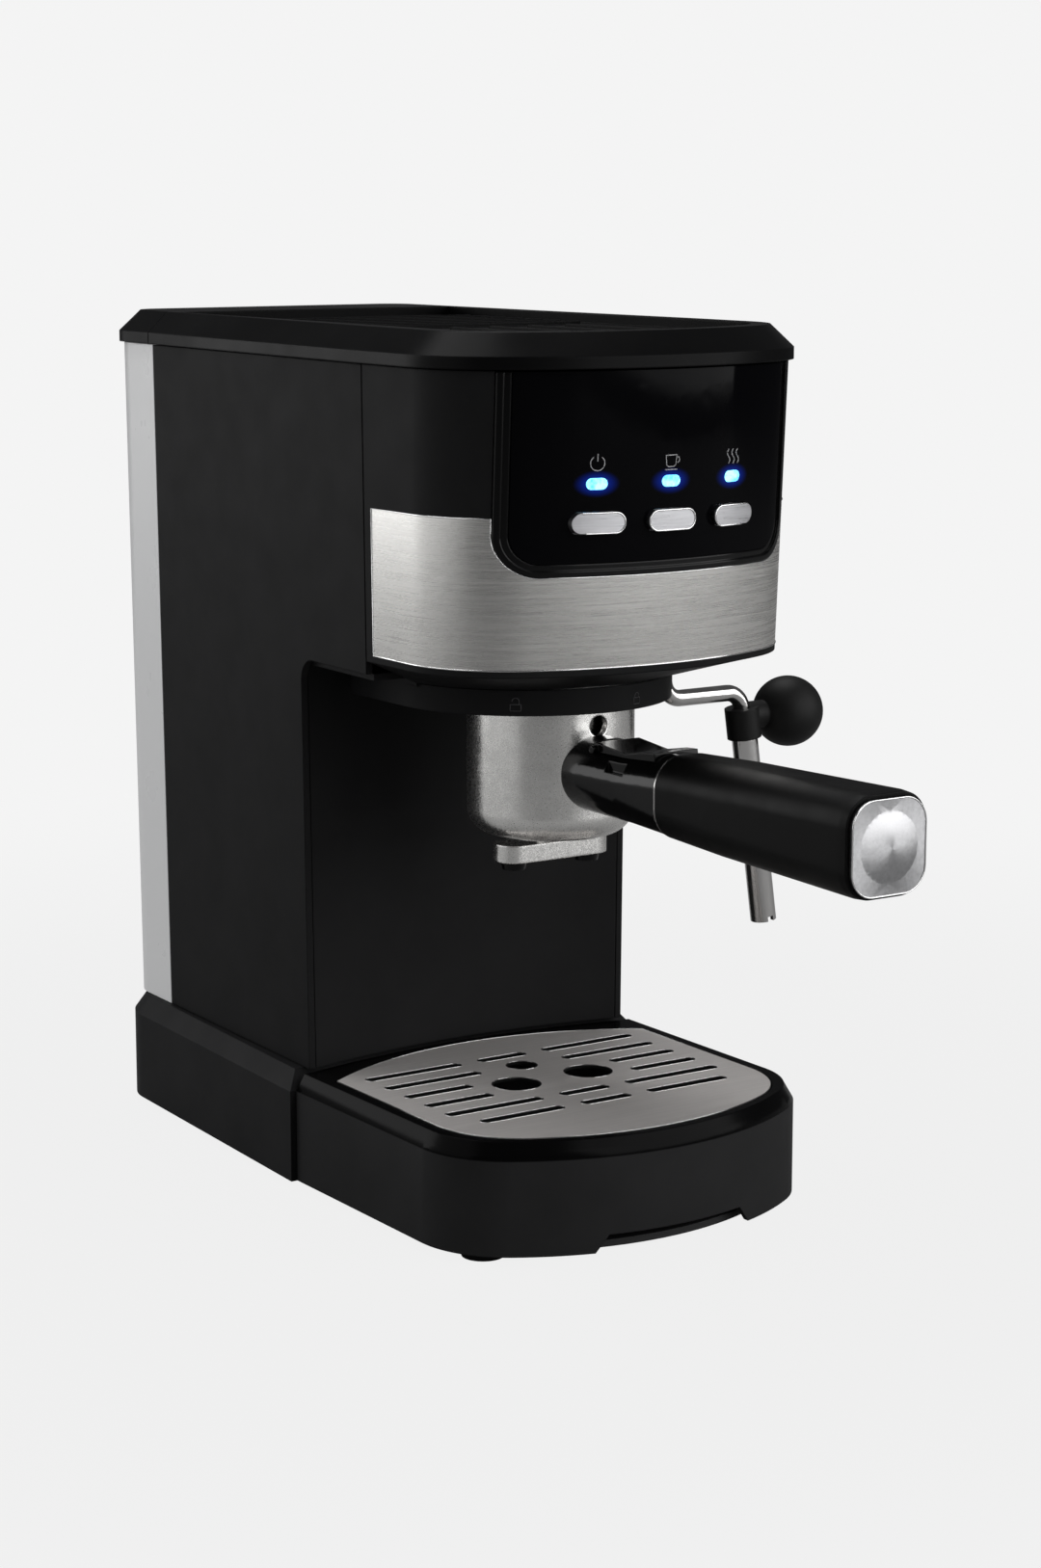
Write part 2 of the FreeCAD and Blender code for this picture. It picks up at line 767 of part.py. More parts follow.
def build_underside():
    outer = loft("chin_outer", profile("chin_low", chin_low_path(-0.4), (0, 0, D.chin_bottom)),
                 profile("chin_high", chin_top_path(0.5, D.shell_bottom - 0.1), (0, 0, D.shell_bottom - 0.1)))
    inner = loft("chin_inner", profile("chin_in_low", chin_low_path(2.4), (0, 0, D.chin_bottom + 2.4)),
                 profile("chin_in_high", chin_top_path(4.5, D.shell_bottom + 2.4),
                         (0, 0, D.shell_bottom + 2.4)))
    dish = cut("chin_dish", outer, inner)
    ceiling_path = [(-67.5, -D.head_seam), (67.5, -D.head_seam), (65.6, -3), (-65.6, -3)]
    ceiling = extrude("ceiling", profile("ceiling_path", ceiling_path, (0, 0, D.panel_bottom - 2.4)), 2.4)
    tab = box("ceiling_tab", (98, 6.4, 4.3), (-49, -D.head_seam - 6, D.chin_bottom + 0.1))
    whole = fuse("underside_whole", dish, ceiling, tab)
    group_way = cylinder("group_way", 38.4, 20, (0, -D.group_place, 180))
    socket_way = cylinder("socket_way", 5.6, 20, (D.wand_pivot_x, -D.wand_pivot_y, 180))
    rear_way = box("rear_way", (80, 24, 10), (-40, -8.4, 182))
    finish("head_underside", cut("underside_cut", whole, group_way, socket_way, rear_way))

    rim = D.chin_bottom - 0.3
    body = extrude("collar_body", profile("collar_outline", collar_path(0, -14), (0, 0, D.collar_bottom)),
                   rim - D.collar_bottom)
    riser = extrude("collar_riser", profile("riser_outline",
                    [(-D.collar_half, -14), (-D.collar_half, -D.head_seam + 0.6),
                     (D.collar_half, -D.head_seam + 0.6), (D.collar_half, -14)], (0, 0, rim - 1)),
                    D.panel_bottom - 2.7 - rim + 1)
    inner_outline = profile("collar_inner", collar_path(2.2, -17), (0, 0, D.collar_bottom + 2.4))
    hollow = extrude("collar_hollow", inner_outline, 30)
    mouth = cylinder("collar_mouth", D.cup_outer + 1.2, 10, (0, -D.group_place, 172))
    finish("group_collar", cut("collar_cut", fuse("collar_full", body, riser), hollow, mouth,
                               *lug_entries("collar_entry", 172, 10)))


def lug_entries(name, low, tall):
    """The two notches that let the lugs in when the handle is turned to the left."""
    entries = []
    for index, side in enumerate((0, 180)):
        reach = D.lug_outer + 0.35
        path = profile(f"{name}_path_{index}", [(0, -8.6), (reach, -8.6), (reach, 8.6), (0, 8.6)])
        entry = extrude(f"{name}_{index}", path, tall)
        holder = group(f"{name}_holder_{index}", entry)
        place(holder, (0, -D.group_place, low), FreeCAD.Rotation(Vector(0, 0, 1), side - 40))
        entries.append(holder)
    return entries


def build_group():
    axis_y = -D.group_place
    bowl = cylinder("group_bowl", 38, 16, (0, axis_y, D.collar_bottom + 2.7))
    limit = extrude("group_limit", profile("group_limit_path", collar_path(2.6, -17), (0, 0, 176)), 30)
    bore = cylinder("group_bore", D.cup_outer + 0.5, 8, (0, axis_y, 178))
    groove = common("group_groove", cylinder("groove_disc", D.lug_outer + 0.35, 4.5, (0, axis_y, 181.2)),
                    box("groove_limit", (90, 62, 20), (-45, -92.4, 175)))
    seat = cylinder("gasket_seat", D.cup_outer + 0.4, 5.0, (0, axis_y, 185.5))
    channel = cylinder("water_channel", 2.6, 20, (0, axis_y, 185))
    casting = cut("group_cut", common("group_blank", bowl, limit), bore, groove, seat, channel,
                  *lug_entries("group_entry", 178, 5))
    finish("group_head", casting)

    ring = cylinder("gasket_ring", D.cup_outer + 0.3, 3.6, (0, axis_y, 186.6))
    finish("group_gasket", cut("gasket_cut", ring, cylinder("gasket_hole", 24.6, 6, (0, axis_y, 185))))

    screen = document.addObject("PartDesign::Body", "screen_body")
    plane = [item for item in screen.Origin.OriginFeatures if item.Role == "XY_Plane"][0]
    spin_axis = [item for item in screen.Origin.OriginFeatures if item.Role == "Z_Axis"][0]
    disc_sketch = screen.newObject("Sketcher::SketchObject", "screen_disc")
    disc_sketch.AttachmentSupport = [(plane, "")]
    disc_sketch.MapMode = "FlatFace"
    disc_sketch.addGeometry(Part.Circle(Vector(0, 0, 0), Vector(0, 0, 1), 24.0), False)
    disc_sketch.addConstraint(Sketcher.Constraint("Coincident", 0, 3, -1, 1))
    disc_sketch.addConstraint(Sketcher.Constraint("Radius", 0, 24.0))
    disc = screen.newObject("PartDesign::Pad", "screen_pad")
    disc.Profile = disc_sketch
    disc.Length = 1.0
    document.recompute()
    for index, (distance, count) in enumerate(((8.0, 8), (14.0, 14), (19.5, 20))):
        hole_sketch = screen.newObject("Sketcher::SketchObject", f"screen_hole_{index}")
        hole_sketch.AttachmentSupport = [(plane, "")]
        hole_sketch.MapMode = "FlatFace"
        hole_sketch.addGeometry(Part.Circle(Vector(distance, 0, 0), Vector(0, 0, 1), 0.9), False)
        hole_sketch.addConstraint(Sketcher.Constraint("DistanceX", 0, 3, distance))
        hole_sketch.addConstraint(Sketcher.Constraint("DistanceY", 0, 3, 0.0))
        hole_sketch.addConstraint(Sketcher.Constraint("Radius", 0, 0.9))
        hole = screen.newObject("PartDesign::Pocket", f"screen_pocket_{index}")
        hole.Profile = hole_sketch
        hole.Type = 1
        hole.Reversed = True
        document.recompute()
        spread = screen.newObject("PartDesign::PolarPattern", f"screen_ring_{index}")
        spread.Originals = [hole]
        spread.Axis = (spin_axis, [""])
        spread.Angle = 360
        spread.Occurrences = count
        screen.Tip = spread
        document.recompute()
    centre_way = cylinder("screen_centre", 2.3, 5, (0, axis_y, 185))
    place(screen, (0, axis_y, 187.2))
    finish("shower_screen", cut("screen_cut", screen, centre_way))

    head = cylinder("shower_screw_head", 4.0, 1.6, (0, axis_y, 185.5))
    slot = box("shower_screw_slot", (9, 1.0, 0.8), (-4.5, axis_y - 0.5, 185.3))
    shank = cylinder("shower_screw_shank", 2.0, 11.0, (0, axis_y, 187.0))
    finish("shower_screw", cut("shower_screw_cut", fuse("shower_screw_whole", head, shank), slot))


def build_boiler():
    axis_y = -D.group_place
    low = D.collar_bottom + 2.7 + 16 + 0.1
    blank = box("boiler_blank", (84, 68, 34), (-42, -96, low))
    block = rounded("boiler_round", blank, 6, lambda edge: abs(edge.Length - 34) < 0.01)
    bore = cylinder("boiler_bore", 2.6, 12, (0, axis_y, low - 1))
    heater = torus("heater_tube", 22, 3.4, (0, -62, low + 36.5))
    whole = fuse("boiler_whole", block, heater, cylinder("heater_post_left", 4, 3.6, (-22, -62, low + 33.5)),
                 cylinder("heater_post_right", 4, 3.6, (22, -62, low + 33.5)))
    finish("thermoblock", cut("boiler_cut", whole, bore))
    sensors = []
    for index, x in enumerate((-8, 8)):
        can = cylinder(f"thermostat_can_{index}", 6.5, 7, (x, -62, low + 34.1))
        blades = box(f"thermostat_blade_{index}", (9, 0.8, 12), (x - 4.5, -62.4, low + 40))
        sensors.append(fuse(f"thermostat_{index}", can, blades))
    finish("thermostats", group("thermostat_set", *sensors))
    bolts = []
    for index, (x, y) in enumerate(((-33, -89), (33, -89), (-33, -35), (33, -35))):
        head = cylinder(f"group_bolt_head_{index}", 4.0, 3.0, (x, y, low + 34.1))
        bolts.append(head)
    finish("boiler_bolts", group("boiler_bolt_set", *bolts))


def build_pump():
    coil = box("pump_coil", (42, 44, 40), (-21, 26, 92))
    coil_round = rounded("pump_coil_round", coil, 3, lambda edge: abs(edge.Length - 40) < 0.01)
    barrel = cylinder("pump_barrel", 13, 92, (0, 48, 68))
    nose = cylinder("pump_nose", 5, 112, (0, 48, 60))
    finish("water_pump", fuse("pump_whole", coil_round, barrel, nose))
    mounts = []
    for index, level in enumerate((76, 140)):
        ring = cylinder(f"mount_ring_{index}", 19, 8, (0, 48, level))
        ear = box(f"mount_ear_{index}", (56, 8, 8), (-28, 44, level))
        mounts.append(cut(f"mount_{index}", fuse(f"mount_full_{index}", ring, ear),
                          cylinder(f"mount_bore_{index}", 13, 12, (0, 48, level - 2))))
    finish("pump_mounts", group("mount_set", *mounts))
    cradle = cut("cradle_cut",
                 fuse("cradle_full", box("cradle_back", (70, 2.5, 110), (-35, 78, D.base_top + D.gap)),
                      box("cradle_left", (2.5, 45, 110), (-35, 33, D.base_top + D.gap)),
                      box("cradle_right", (2.5, 45, 110), (32.5, 33, D.base_top + D.gap))),
                 box("cradle_slot_low", (80, 9, 9), (-40, 43.5, 75.5)),
                 box("cradle_slot_high", (80, 9, 9), (-40, 43.5, 139.5)))
    finish("pump_cradle", cradle)

    finish("suction_hose", tube("suction_tube", [(0, 104.3, 30), (0, 48, 30), (0, 48, 59.9)], 4.5, 14, 2.6))
    pressure_run = [(0, 48, 172.1), (0, 48, 246), (0, -32.5, 246), (0, -32.5, 229.9)]
    finish("pressure_hose", tube("pressure_tube", pressure_run, 3.0, 10, 1.6))
    steam_run = [(42.1, -58, 214), (50, -58, 214), (50, -22, 214), (50, -22, 237.9)]
    finish("steam_pipe", tube("steam_tube", steam_run, 2.2, 5, 1.2))

    valve_body = fuse("valve_body", box("valve_block", (20, 14, 16), (40, -29, 238)),
                      cylinder("valve_nose", 5.5, 4, (60, -22, 246), "X"))
    valve = cut("valve_cut", valve_body, cylinder("valve_bore", 3.05, 16, (50, -22, 246), "X"))
    finish("steam_valve", valve)


def build_knob():
    spindle = cylinder("spindle_rod", 3.0, 22, (52, -22, 246), "X")
    finish("valve_spindle", spindle)
    knob_low = cylinder("knob_disc", 17, 13, (72.6, -22, 246), "X")
    grip = box("knob_bar", (8, 30, 8), (82, -37, 242))
    grips = []
    for index in range(18):
        angle = index * 2 * math.pi / 18
        grips.append(cylinder(f"knob_flute_{index}", 1.5, 20,
                              (70, -22 + 17.9 * math.cos(angle), 246 + 17.9 * math.sin(angle)), "X"))
    whole = cut("knob_cut", fuse("knob_full", knob_low, grip),
                cylinder("knob_bore", 3.0, 1.6, (72.4, -22, 246), "X"),
                *grips)
    finish("steam_knob", whole)


# ---------------------------------------------------------------- portafilter

def build_portafilter():
    axis_y = -D.group_place
    outer = D.cup_outer
    inner = D.cup_outer - D.cup_wall
    floor = D.cup_floor
    rim = D.cup_rim
    corner = 9.0
    path = [
        (0, floor), (outer - corner, floor), (outer, floor + corner, corner, 1), (outer, rim),
        (inner, rim), (inner, floor + corner + 1), (inner - corner + 2, floor + 4, corner - 2, -1),
        (0, floor + 4),
    ]
    cup = revolve("cup_turned", profile("cup_path", path, (0, axis_y, 0), "XZ"), (0, axis_y, 0))
    lugs = []
    for index, side in enumerate((0, 180)):
        lug = extrude(f"lug_{index}", profile(f"lug_path_{index}", [
            (D.cup_outer - 1.5, -7.6), (D.lug_outer - 1, -7.6), (D.lug_outer, 0, 24, 1),
            (D.lug_outer - 1, 7.6, 24, 1), (D.cup_outer - 1.5, 7.6)]), 3.6)
        holder = group(f"lug_holder_{index}", lug)
        place(holder, (0, axis_y, 181.5), FreeCAD.Rotation(Vector(0, 0, 1), side))
        lugs.append(holder)
    boss = cylinder("handle_boss", 6.0, 8, (0, axis_y - D.cup_outer + 2.0, D.handle_level), "-Y")
    outlet = cylinder("cup_outlet", 6, 4, (0, axis_y, floor - 2.6))
    hole = cylinder("outlet_hole", 2.5, 12, (0, axis_y, floor - 4))
    bolt_way = cylinder("bolt_way", 3.0, 7, (0, axis_y - D.cup_outer - 0.4, D.handle_level), "-Y")
    arch = cylinder("basket_notch", 3.6, 8, (0, axis_y - D.cup_outer + 4.5, 171.5), "-Y")
    cup_whole = fuse("cup_whole", cup, boss, outlet, *lugs)
    finish("portafilter_cup", cut("cup_cut", cup_whole, hole, bolt_way, arch))

    basket_path = [
        (0, 160.4), (23.4, 160.4), (23.8, 185.2), (28.4, 185.2), (28.4, 186.1), (23.2, 186.1),
        (22.8, 161.0), (0, 161.0),
    ]
    basket_outline = profile("basket_profile", basket_path, (0, axis_y, 0), "XZ")
    basket = revolve("basket_turned", basket_outline, (0, axis_y, 0))
    pins = []
    for ring, count in ((5.0, 6), (10.0, 12), (15.0, 16)):
        for index in range(count):
            angle = 2 * math.pi * index / count
            pins.append(cylinder(f"basket_pin_{count}_{index}", 0.6, 3,
                                 (ring * math.cos(angle), axis_y + ring * math.sin(angle), 159.5)))
    finish("filter_basket", cut("basket_cut", basket, *pins))

    spring = torus("basket_spring_ring", 25.0, 1.34, (0, axis_y, 176))
    finish("basket_spring", spring)

    neck = loft("neck_loft", round_bar("neck_a", 13.2, 12.8, 12.4, -84, 0),
                round_bar("neck_b", 13.0, 13.0, 11.8, -120, 0),
                round_bar("neck_c", 13.6, 13.5, 10.6, -D.grip_start, 0))
    saddle = cylinder("neck_saddle", D.cup_outer + 0.1, 60, (0, axis_y, D.handle_level - 30))
    boss_way = cylinder("neck_boss_way", 6.05, 20, (0, -78.7, D.handle_level), "-Y")
    clip_way = box("clip_window", (4, 10.5, 4.2), (-14.6, -124, D.handle_level + 4.8))
    guard_way = box("guard_way", (18.4, 38, 9), (-9.2, -D.guard_hinge - 34.6, D.handle_level + 7.2))
    pin_way = cylinder("guard_pin_way", 1.3, 22.2, (-11.1, -D.guard_hinge, D.handle_level + 10.6), "X")
    bolt_bore = cylinder("neck_bore", 3.05, 60, (0, -90, D.handle_level), "-Y")
    finish("handle_neck", cut("neck_cut", neck, saddle, boss_way, guard_way, pin_way, clip_way, bolt_bore))

    grip_end = D.handle_end - 2.4
    grip = loft("grip_loft", round_bar("grip_a", 13.8, 13.9, 10.6, -D.grip_start - 0.9, 0),
                round_bar("grip_b", 14.8, 15.0, 10.6, -172, 0.1),
                round_bar("grip_c", 15.8, 16.4, 10.0, -grip_end + 3, 0.2))
    tip = loft("grip_tip", round_bar("tip_a", 15.8, 16.4, 10.0, -grip_end + 3, 0.2),
               round_bar("tip_b", 15.5, 16.1, 9.7, -grip_end - 0.8, 0.2))
    socket = front_prism("cap_socket", squarish(14.3, 14.9, 8.4), D.handle_end + 6, 9.0)
    rod_bore = cylinder("grip_bore", 3.05, 120, (0, -D.grip_start + 6, D.handle_level), "-Y")
    finish("handle_grip", cut("grip_cut", fuse("grip_full", grip, tip), socket, rod_bore))
    collar_ring = cut("seam_ring_cut",
                      loft("seam_ring", round_bar("seam_a", 13.75, 13.7, 10.5, -D.grip_start, 0),
                           round_bar("seam_b", 13.85, 13.85, 10.6, -D.grip_start - 0.85, 0)),
                      cylinder("seam_bore", 3.05, 10, (0, -D.grip_start + 4, D.handle_level), "-Y"))
    finish("handle_seam_ring", collar_ring)

    plate = front_prism("cap_plate", squarish(14.2, 14.8, 8.3), D.handle_end, 2.6)
    dome = sphere("cap_dome", 44, (0, -D.handle_end + 42.5, D.handle_level))
    dome_limit = cylinder("dome_limit", 12.4, 6, (0, -D.handle_end + 1.5, D.handle_level), "-Y")
    finish("handle_end_cap", fuse("cap_whole", plate, common("cap_bulge", dome, dome_limit)))
    bolt_start = (0, -D.group_place - D.cup_outer - 0.6, D.handle_level)
    finish("handle_bolt", cylinder("bolt_rod", 2.98, 133, bolt_start, "-Y"))

    low = D.cup_floor - 2.7
    bar_path = [(-15.2, -7, 7, 1), (15.2, -7), (22.2, 0, 7, 1), (15.2, 7, 7, 1), (-15.2, 7),
                (-22.2, 0, 7, 1)]
    bar = extrude("spout_bar", profile("spout_path", bar_path, (0, axis_y, low - 6.2)), 6.1)
    wells = []
    nozzles = []
    for index, side in enumerate((-1, 1)):
        x = side * D.spout_pitch
        wells.append(cylinder(f"spout_well_{index}", 2.6, 5, (x, axis_y, low - 8)))
        outer_nozzle = cone(f"nozzle_outer_{index}", 4.0, 4.6, 3.0, (x, axis_y, low - 9.3))
        nozzle_bore = cylinder(f"nozzle_bore_{index}", 2.4, 6, (x, axis_y, low - 11))
        nozzles.append(cut(f"nozzle_{index}", outer_nozzle, nozzle_bore))
    channel = box("spout_channel", (2 * D.spout_pitch, 4, 2.6), (-D.spout_pitch, axis_y - 2, low - 4.8))
    drop = cylinder("spout_inlet", 2.5, 6, (0, axis_y, low - 4))
    finish("spout_bracket", cut("spout_cut", bar, channel, drop, *wells))
    finish("spout_nozzles", group("nozzle_set", *nozzles))

    hinge = -D.guard_hinge
    level = D.handle_level
    blade_path = [
        (hinge, level + 8.4), (hinge, level + 12.9), (hinge - 16.4, level + 11.4), (hinge - 27, level + 13.4),
        (hinge - 33, level + 13.8), (hinge - 33.6, level + 8.6), (hinge - 26, level + 8.4),
    ]
    blade = extrude("guard_blade", profile("guard_side", blade_path, (-8.8, 0, 0), "YZ"), 17.6)
    knuckle = cylinder("guard_knuckle", 2.3, 17.6, (-8.8, hinge, level + 10.6), "X")
    pin = cylinder("guard_pin", 1.25, 21.6, (-10.8, hinge, level + 10.6), "X")
    finish("basket_guard", fuse("guard_whole", blade, knuckle, pin))


def squarish(half_x, half_z, corner):
    """Rounded rectangle about the handle's axis, seen from the front."""
    half_x = size(half_x)
    half_z = size(half_z)
    corner = size(corner)
    middle = D.handle_level
    return [
        (-half_x, middle + half_z - corner, corner, 1), (-half_x, middle - half_z + corner),
        (-half_x + corner, middle - half_z, corner, 1), (half_x - corner, middle - half_z),
        (half_x, middle - half_z + corner, corner, 1), (half_x, middle + half_z - corner),
        (half_x - corner, middle + half_z, corner, 1), (-half_x + corner, middle + half_z),
    ]


def round_bar(name, half_x, half_z, corner, y, lift):
    """Section of the handle: a rounded rectangle standing across the Y axis."""
    return profile(name, squarish(half_x, half_z, corner), (0, y, lift), "XZ")


# ---------------------------------------------------------------- steam wand

def build_wand():
    pivot = (D.wand_pivot_x, -D.wand_pivot_y)
    level = D.wand_level
    socket = cut("socket_cut", fuse("socket_full", cylinder("socket_stem", 5.3, 14, (*pivot, 182)),
                                    cylinder("socket_flange", 8, 2.4, (*pivot, 190.7))),
                 cylinder("socket_bore", 3.05, 30, (*pivot, 180)))
    finish("wand_socket", socket)
    reach = D.wand_reach
    px = D.wand_pivot_x.value
    py = -D.wand_pivot_y.value
    pz = level.value
    elbow = (reach.value, py, pz)
    direction = Vector(D.wand_lean.value, 0, -1).normalize()
    turn = FreeCAD.Rotation(Vector(0, 0, 1), direction)

    def along(distance):
        return (elbow[0] + direction.x * distance, py, elbow[2] + direction.z * distance)

    line = [(px, py, 195), (px, py, pz), elbow, along(74)]
    finish("wand_tube", tube("wand_rod", line, D.wand_tube, 7, 1.6))

    sleeve = cylinder("grip_sleeve", 6.3, 11.2, (0, 0, 0))
    place(sleeve, along(5.9), turn)
    bore = cylinder("grip_sleeve_bore", D.wand_tube + 0.02, 30, (0, 0, 0))
    place(bore, along(2.0), turn)
    ball_level = elbow[2] - 8.9
    ball = sphere("grip_ball", D.ball_radius, (elbow[0] + 22.2, py, ball_level))
    arm = cylinder("grip_arm", 5.0, 16, (elbow[0] + 2.0, py, ball_level), "X")
    finish("wand_ball_grip", cut("ball_grip_cut", fuse("ball_grip_full", sleeve, arm, ball), bore))

    outer = cylinder("froth_outer", 4.75, 69.6, (0, 0, 0))
    place(outer, along(17.4), turn)
    inner = cylinder("froth_inner", D.wand_tube + 0.06, 90, (0, 0, 0))
    place(inner, along(12), turn)
    notch = box("froth_notch", (2.4, 12, 3.0), (-1.2, -6, 0))
    notch_holder = group("froth_notch_holder", notch)
    place(notch_holder, along(85.2), turn)
    vent = cylinder("froth_vent", 0.9, 8, (0, 0, 0))
    place(vent, along(34), FreeCAD.Rotation(Vector(1, 0, 0), 90))
    finish("froth_sleeve", cut("froth_cut", outer, inner, notch_holder, vent))


# ---------------------------------------------------------------- top

def top_path(grow, level):
    """Whole plan of the top: round front, slanted sides and round rear corners."""
    grow = size(grow)
    level = size(level)
    front = round_front(half_at(level) + grow, front_at(level) + grow, D.head_arc + grow,
                        D.head_corner + grow, -D.head_seam)
    rear_half = half_at(level) + grow - D.side_slant * (D.head_seam + D.tank_rear - D.tank_corner)
    corner = D.tank_corner + grow
    rear = D.tank_rear + grow
    return front[1:5] + [
        (half_at(level) + grow, -D.head_seam), (rear_half, rear - corner),
        (rear_half - corner, rear, corner, 1), (-(rear_half - corner), rear),
        (-rear_half, rear - corner, corner, 1), (-(half_at(level) + grow), -D.head_seam),
    ]


def build_top():
    over = D.lip_overhang
    lip = loft("lip_block", profile("lip_low", top_path(over, D.lip_bottom), (0, 0, D.lip_bottom)),
               profile("lip_high", top_path(over, D.lip_bottom), (0, 0, D.lip_top)))
    slope = loft("slope_block", profile("slope_low", top_path(over, D.lip_bottom), (0, 0, D.lip_top)),
                 profile("slope_high", top_path(over - D.cover_bevel, D.lip_bottom), (0, 0, D.cover_top)))
    crown = fuse("crown", lip, slope)
    under = loft("crown_under", profile("under_low", top_path(-3.2, D.lip_bottom), (0, 0, D.lip_bottom - 2)),
                 profile("under_high", top_path(-3.2, D.lip_bottom), (0, 0, D.lip_bottom + 2.2)))
    upper = loft("crown_vault", profile("vault_a", top_path(-3.2, D.lip_bottom), (0, 0, D.lip_bottom + 2.2)),
                 profile("vault_b", top_path(-11.0, D.lip_bottom), (0, 0, 299.6)))
    shell = cut("crown_shell", crown, under, upper)

    well = extrude("cup_well", profile("well_path", well_path(), (0, 0, 302.0)), 10)
    front_part = box("cover_keep", (300, 300, 60), (-150, D.tank_front - 0.3 - 300, 270))
    cover = cut("cover_cut", common("cover_blank", shell, front_part), well)
    ribs = []
    for index in range(7):
        ribs.append(box(f"rib_{index}", (100, 1.6, 1.4), (-50, -8 + 12.0 * index, 301.9)))
    for index in range(5):
        ribs.append(box(f"front_rib_{index}", (1.6, 62, 1.4), (-32.8 + 16.0 * index, -88, 301.9)))
    finish("top_cover", fuse("cover_whole", cover, *ribs))

    rear_part = box("lid_keep", (300, 100, 60), (-150, D.tank_front, 270))
    lid_blank = common("lid_blank", shell, rear_part)
    hinge_y = D.tank_rear + 2.4
    barrels = []
    tools = []
    for index, side in enumerate((-1, 1)):
        start = side * 29 - 7
        barrels.append(cylinder(f"lid_barrel_{index}", 2.2, 14, (start, hinge_y, D.lid_hinge), "X"))
        tools.append(cylinder(f"lid_pin_way_{index}", 1.25, 15, (start - 0.5, hinge_y, D.lid_hinge), "X"))
        tools.append(box(f"lid_post_way_{index}", (4.2, 12, 9), (side * 38.4 - 2.1, hinge_y - 5.6, 290)))
    lid = cut("lid_cut", fuse("lid_full", lid_blank, *barrels), *tools)
    finish("tank_lid", lid)


def well_path():
    """Cup-warming well in the top cover."""
    front = round_front(58.5, 122.0, 106.0, 27.0, 94)
    return front


# ---------------------------------------------------------------- tank

def tank_section(name, level, inset, z):
    """Plan of the water tank at a height."""
    level = size(level)
    inset = size(inset)
    half = half_at(level) - D.side_slant * (D.head_seam + D.tank_front) - inset
    narrow = half - D.side_slant * (D.tank_rear - D.tank_front - D.tank_corner)
    corner = D.tank_corner - inset
    rear = D.tank_rear - inset
    front = D.tank_front + inset
    path = [
        (-half, front), (half, front), (narrow, rear - corner), (narrow - corner, rear, corner, 1),
        (-(narrow - corner), rear), (-narrow, rear - corner, corner, 1),
    ]
    return profile(name, path, (0, 0, z))


def build_tank():
    low = D.base_top + D.gap
    high = D.lip_bottom - 0.4
    outer = loft("tank_outer", tank_section("tank_low", low, 0, low),
                 tank_section("tank_high", high, 0, high))
    inner = loft("tank_inner", tank_section("tank_in_low", low, D.tank_wall, low + 2.4),
                 tank_section("tank_in_high", high, D.tank_wall, high + 3))
    spigot = cylinder("tank_spigot", 7.0, 7.5, (0, 119, low - 6.5))
    bore = cylinder("tank_bore", 4.0, 16, (0, 119, low - 9))
    tank = cut("tank_cut", fuse("tank_full", outer, spigot), inner, bore)
    hinge_y = D.tank_rear + 2.4
    posts = []
    for index, side in enumerate((-1, 1)):
        post_x = side * 38.4
        foot = box(f"hinge_post_{index}", (3.4, 6, 18), (post_x - 1.7, hinge_y - 4, D.lid_hinge - 16))
        pin_start = (min(post_x, post_x - side * 9), hinge_y, D.lid_hinge)
        pin = cylinder(f"hinge_pin_{index}", 1.2, 9, pin_start, "X")
        posts.append(fuse(f"hinge_post_whole_{index}", foot, pin))
    finish("water_tank", fuse("tank_whole", tank, *posts))
    stem = fuse("valve_stem_full", cylinder("valve_stem", 1.6, 12, (0, 119, low - 6)),
                cylinder("valve_disc", 6.0, 1.6, (0, 119, low + 2.4)))
    finish("tank_valve", stem)

    dock = cut("dock_cut", fuse("dock_full", cylinder("dock_cup", 8.8, 11, (0, 119, 26)),
                                box("dock_spout", (12, 14, 9), (-6, 104.5, 26))),
               cylinder("dock_room", 7.5, 9, (0, 119, 34)),
               cylinder("dock_bore", 2.6, 12, (0, 119, 30), "-Y"),
               cylinder("dock_drop", 3, 8, (0, 119, 29)))
    finish("tank_dock", dock)


# ---------------------------------------------------------------- drip tray

def tray_path(inset, rear_gap):
    """Plan of the drip tray: round front and a rear edge that follows the column."""
    inset = size(inset)
    front = round_front(D.tray_half - inset, D.tray_front - inset, D.tray_arc - inset,
                        D.tray_corner - inset, -D.tray_rear - rear_gap)
    wing = D.body_half - 4.5 - rear_gap
    hollow = D.column_hollow
    arc = (wing * wing + hollow * hollow) / (2 * hollow)
    rear = -D.tray_rear - rear_gap
    return front + [(wing, rear), (0, rear + hollow, arc, 1), (-wing, rear, arc, 1)]


def grate_path(inset):
    """Plan of the drip grate."""
    inset = size(inset)
    half = D.grate_half - inset
    front = round_front(half, D.grate_front - inset, 106 - inset, 34 - inset, -27.4 - inset)
    hollow = 19.8
    arc = (half * half + hollow * hollow) / (2 * hollow)
    rear = -27.4 - inset
    start = (*front[0][:2], arc, 1)
    return [start] + front[1:] + [(0, rear + hollow, arc, 1)]


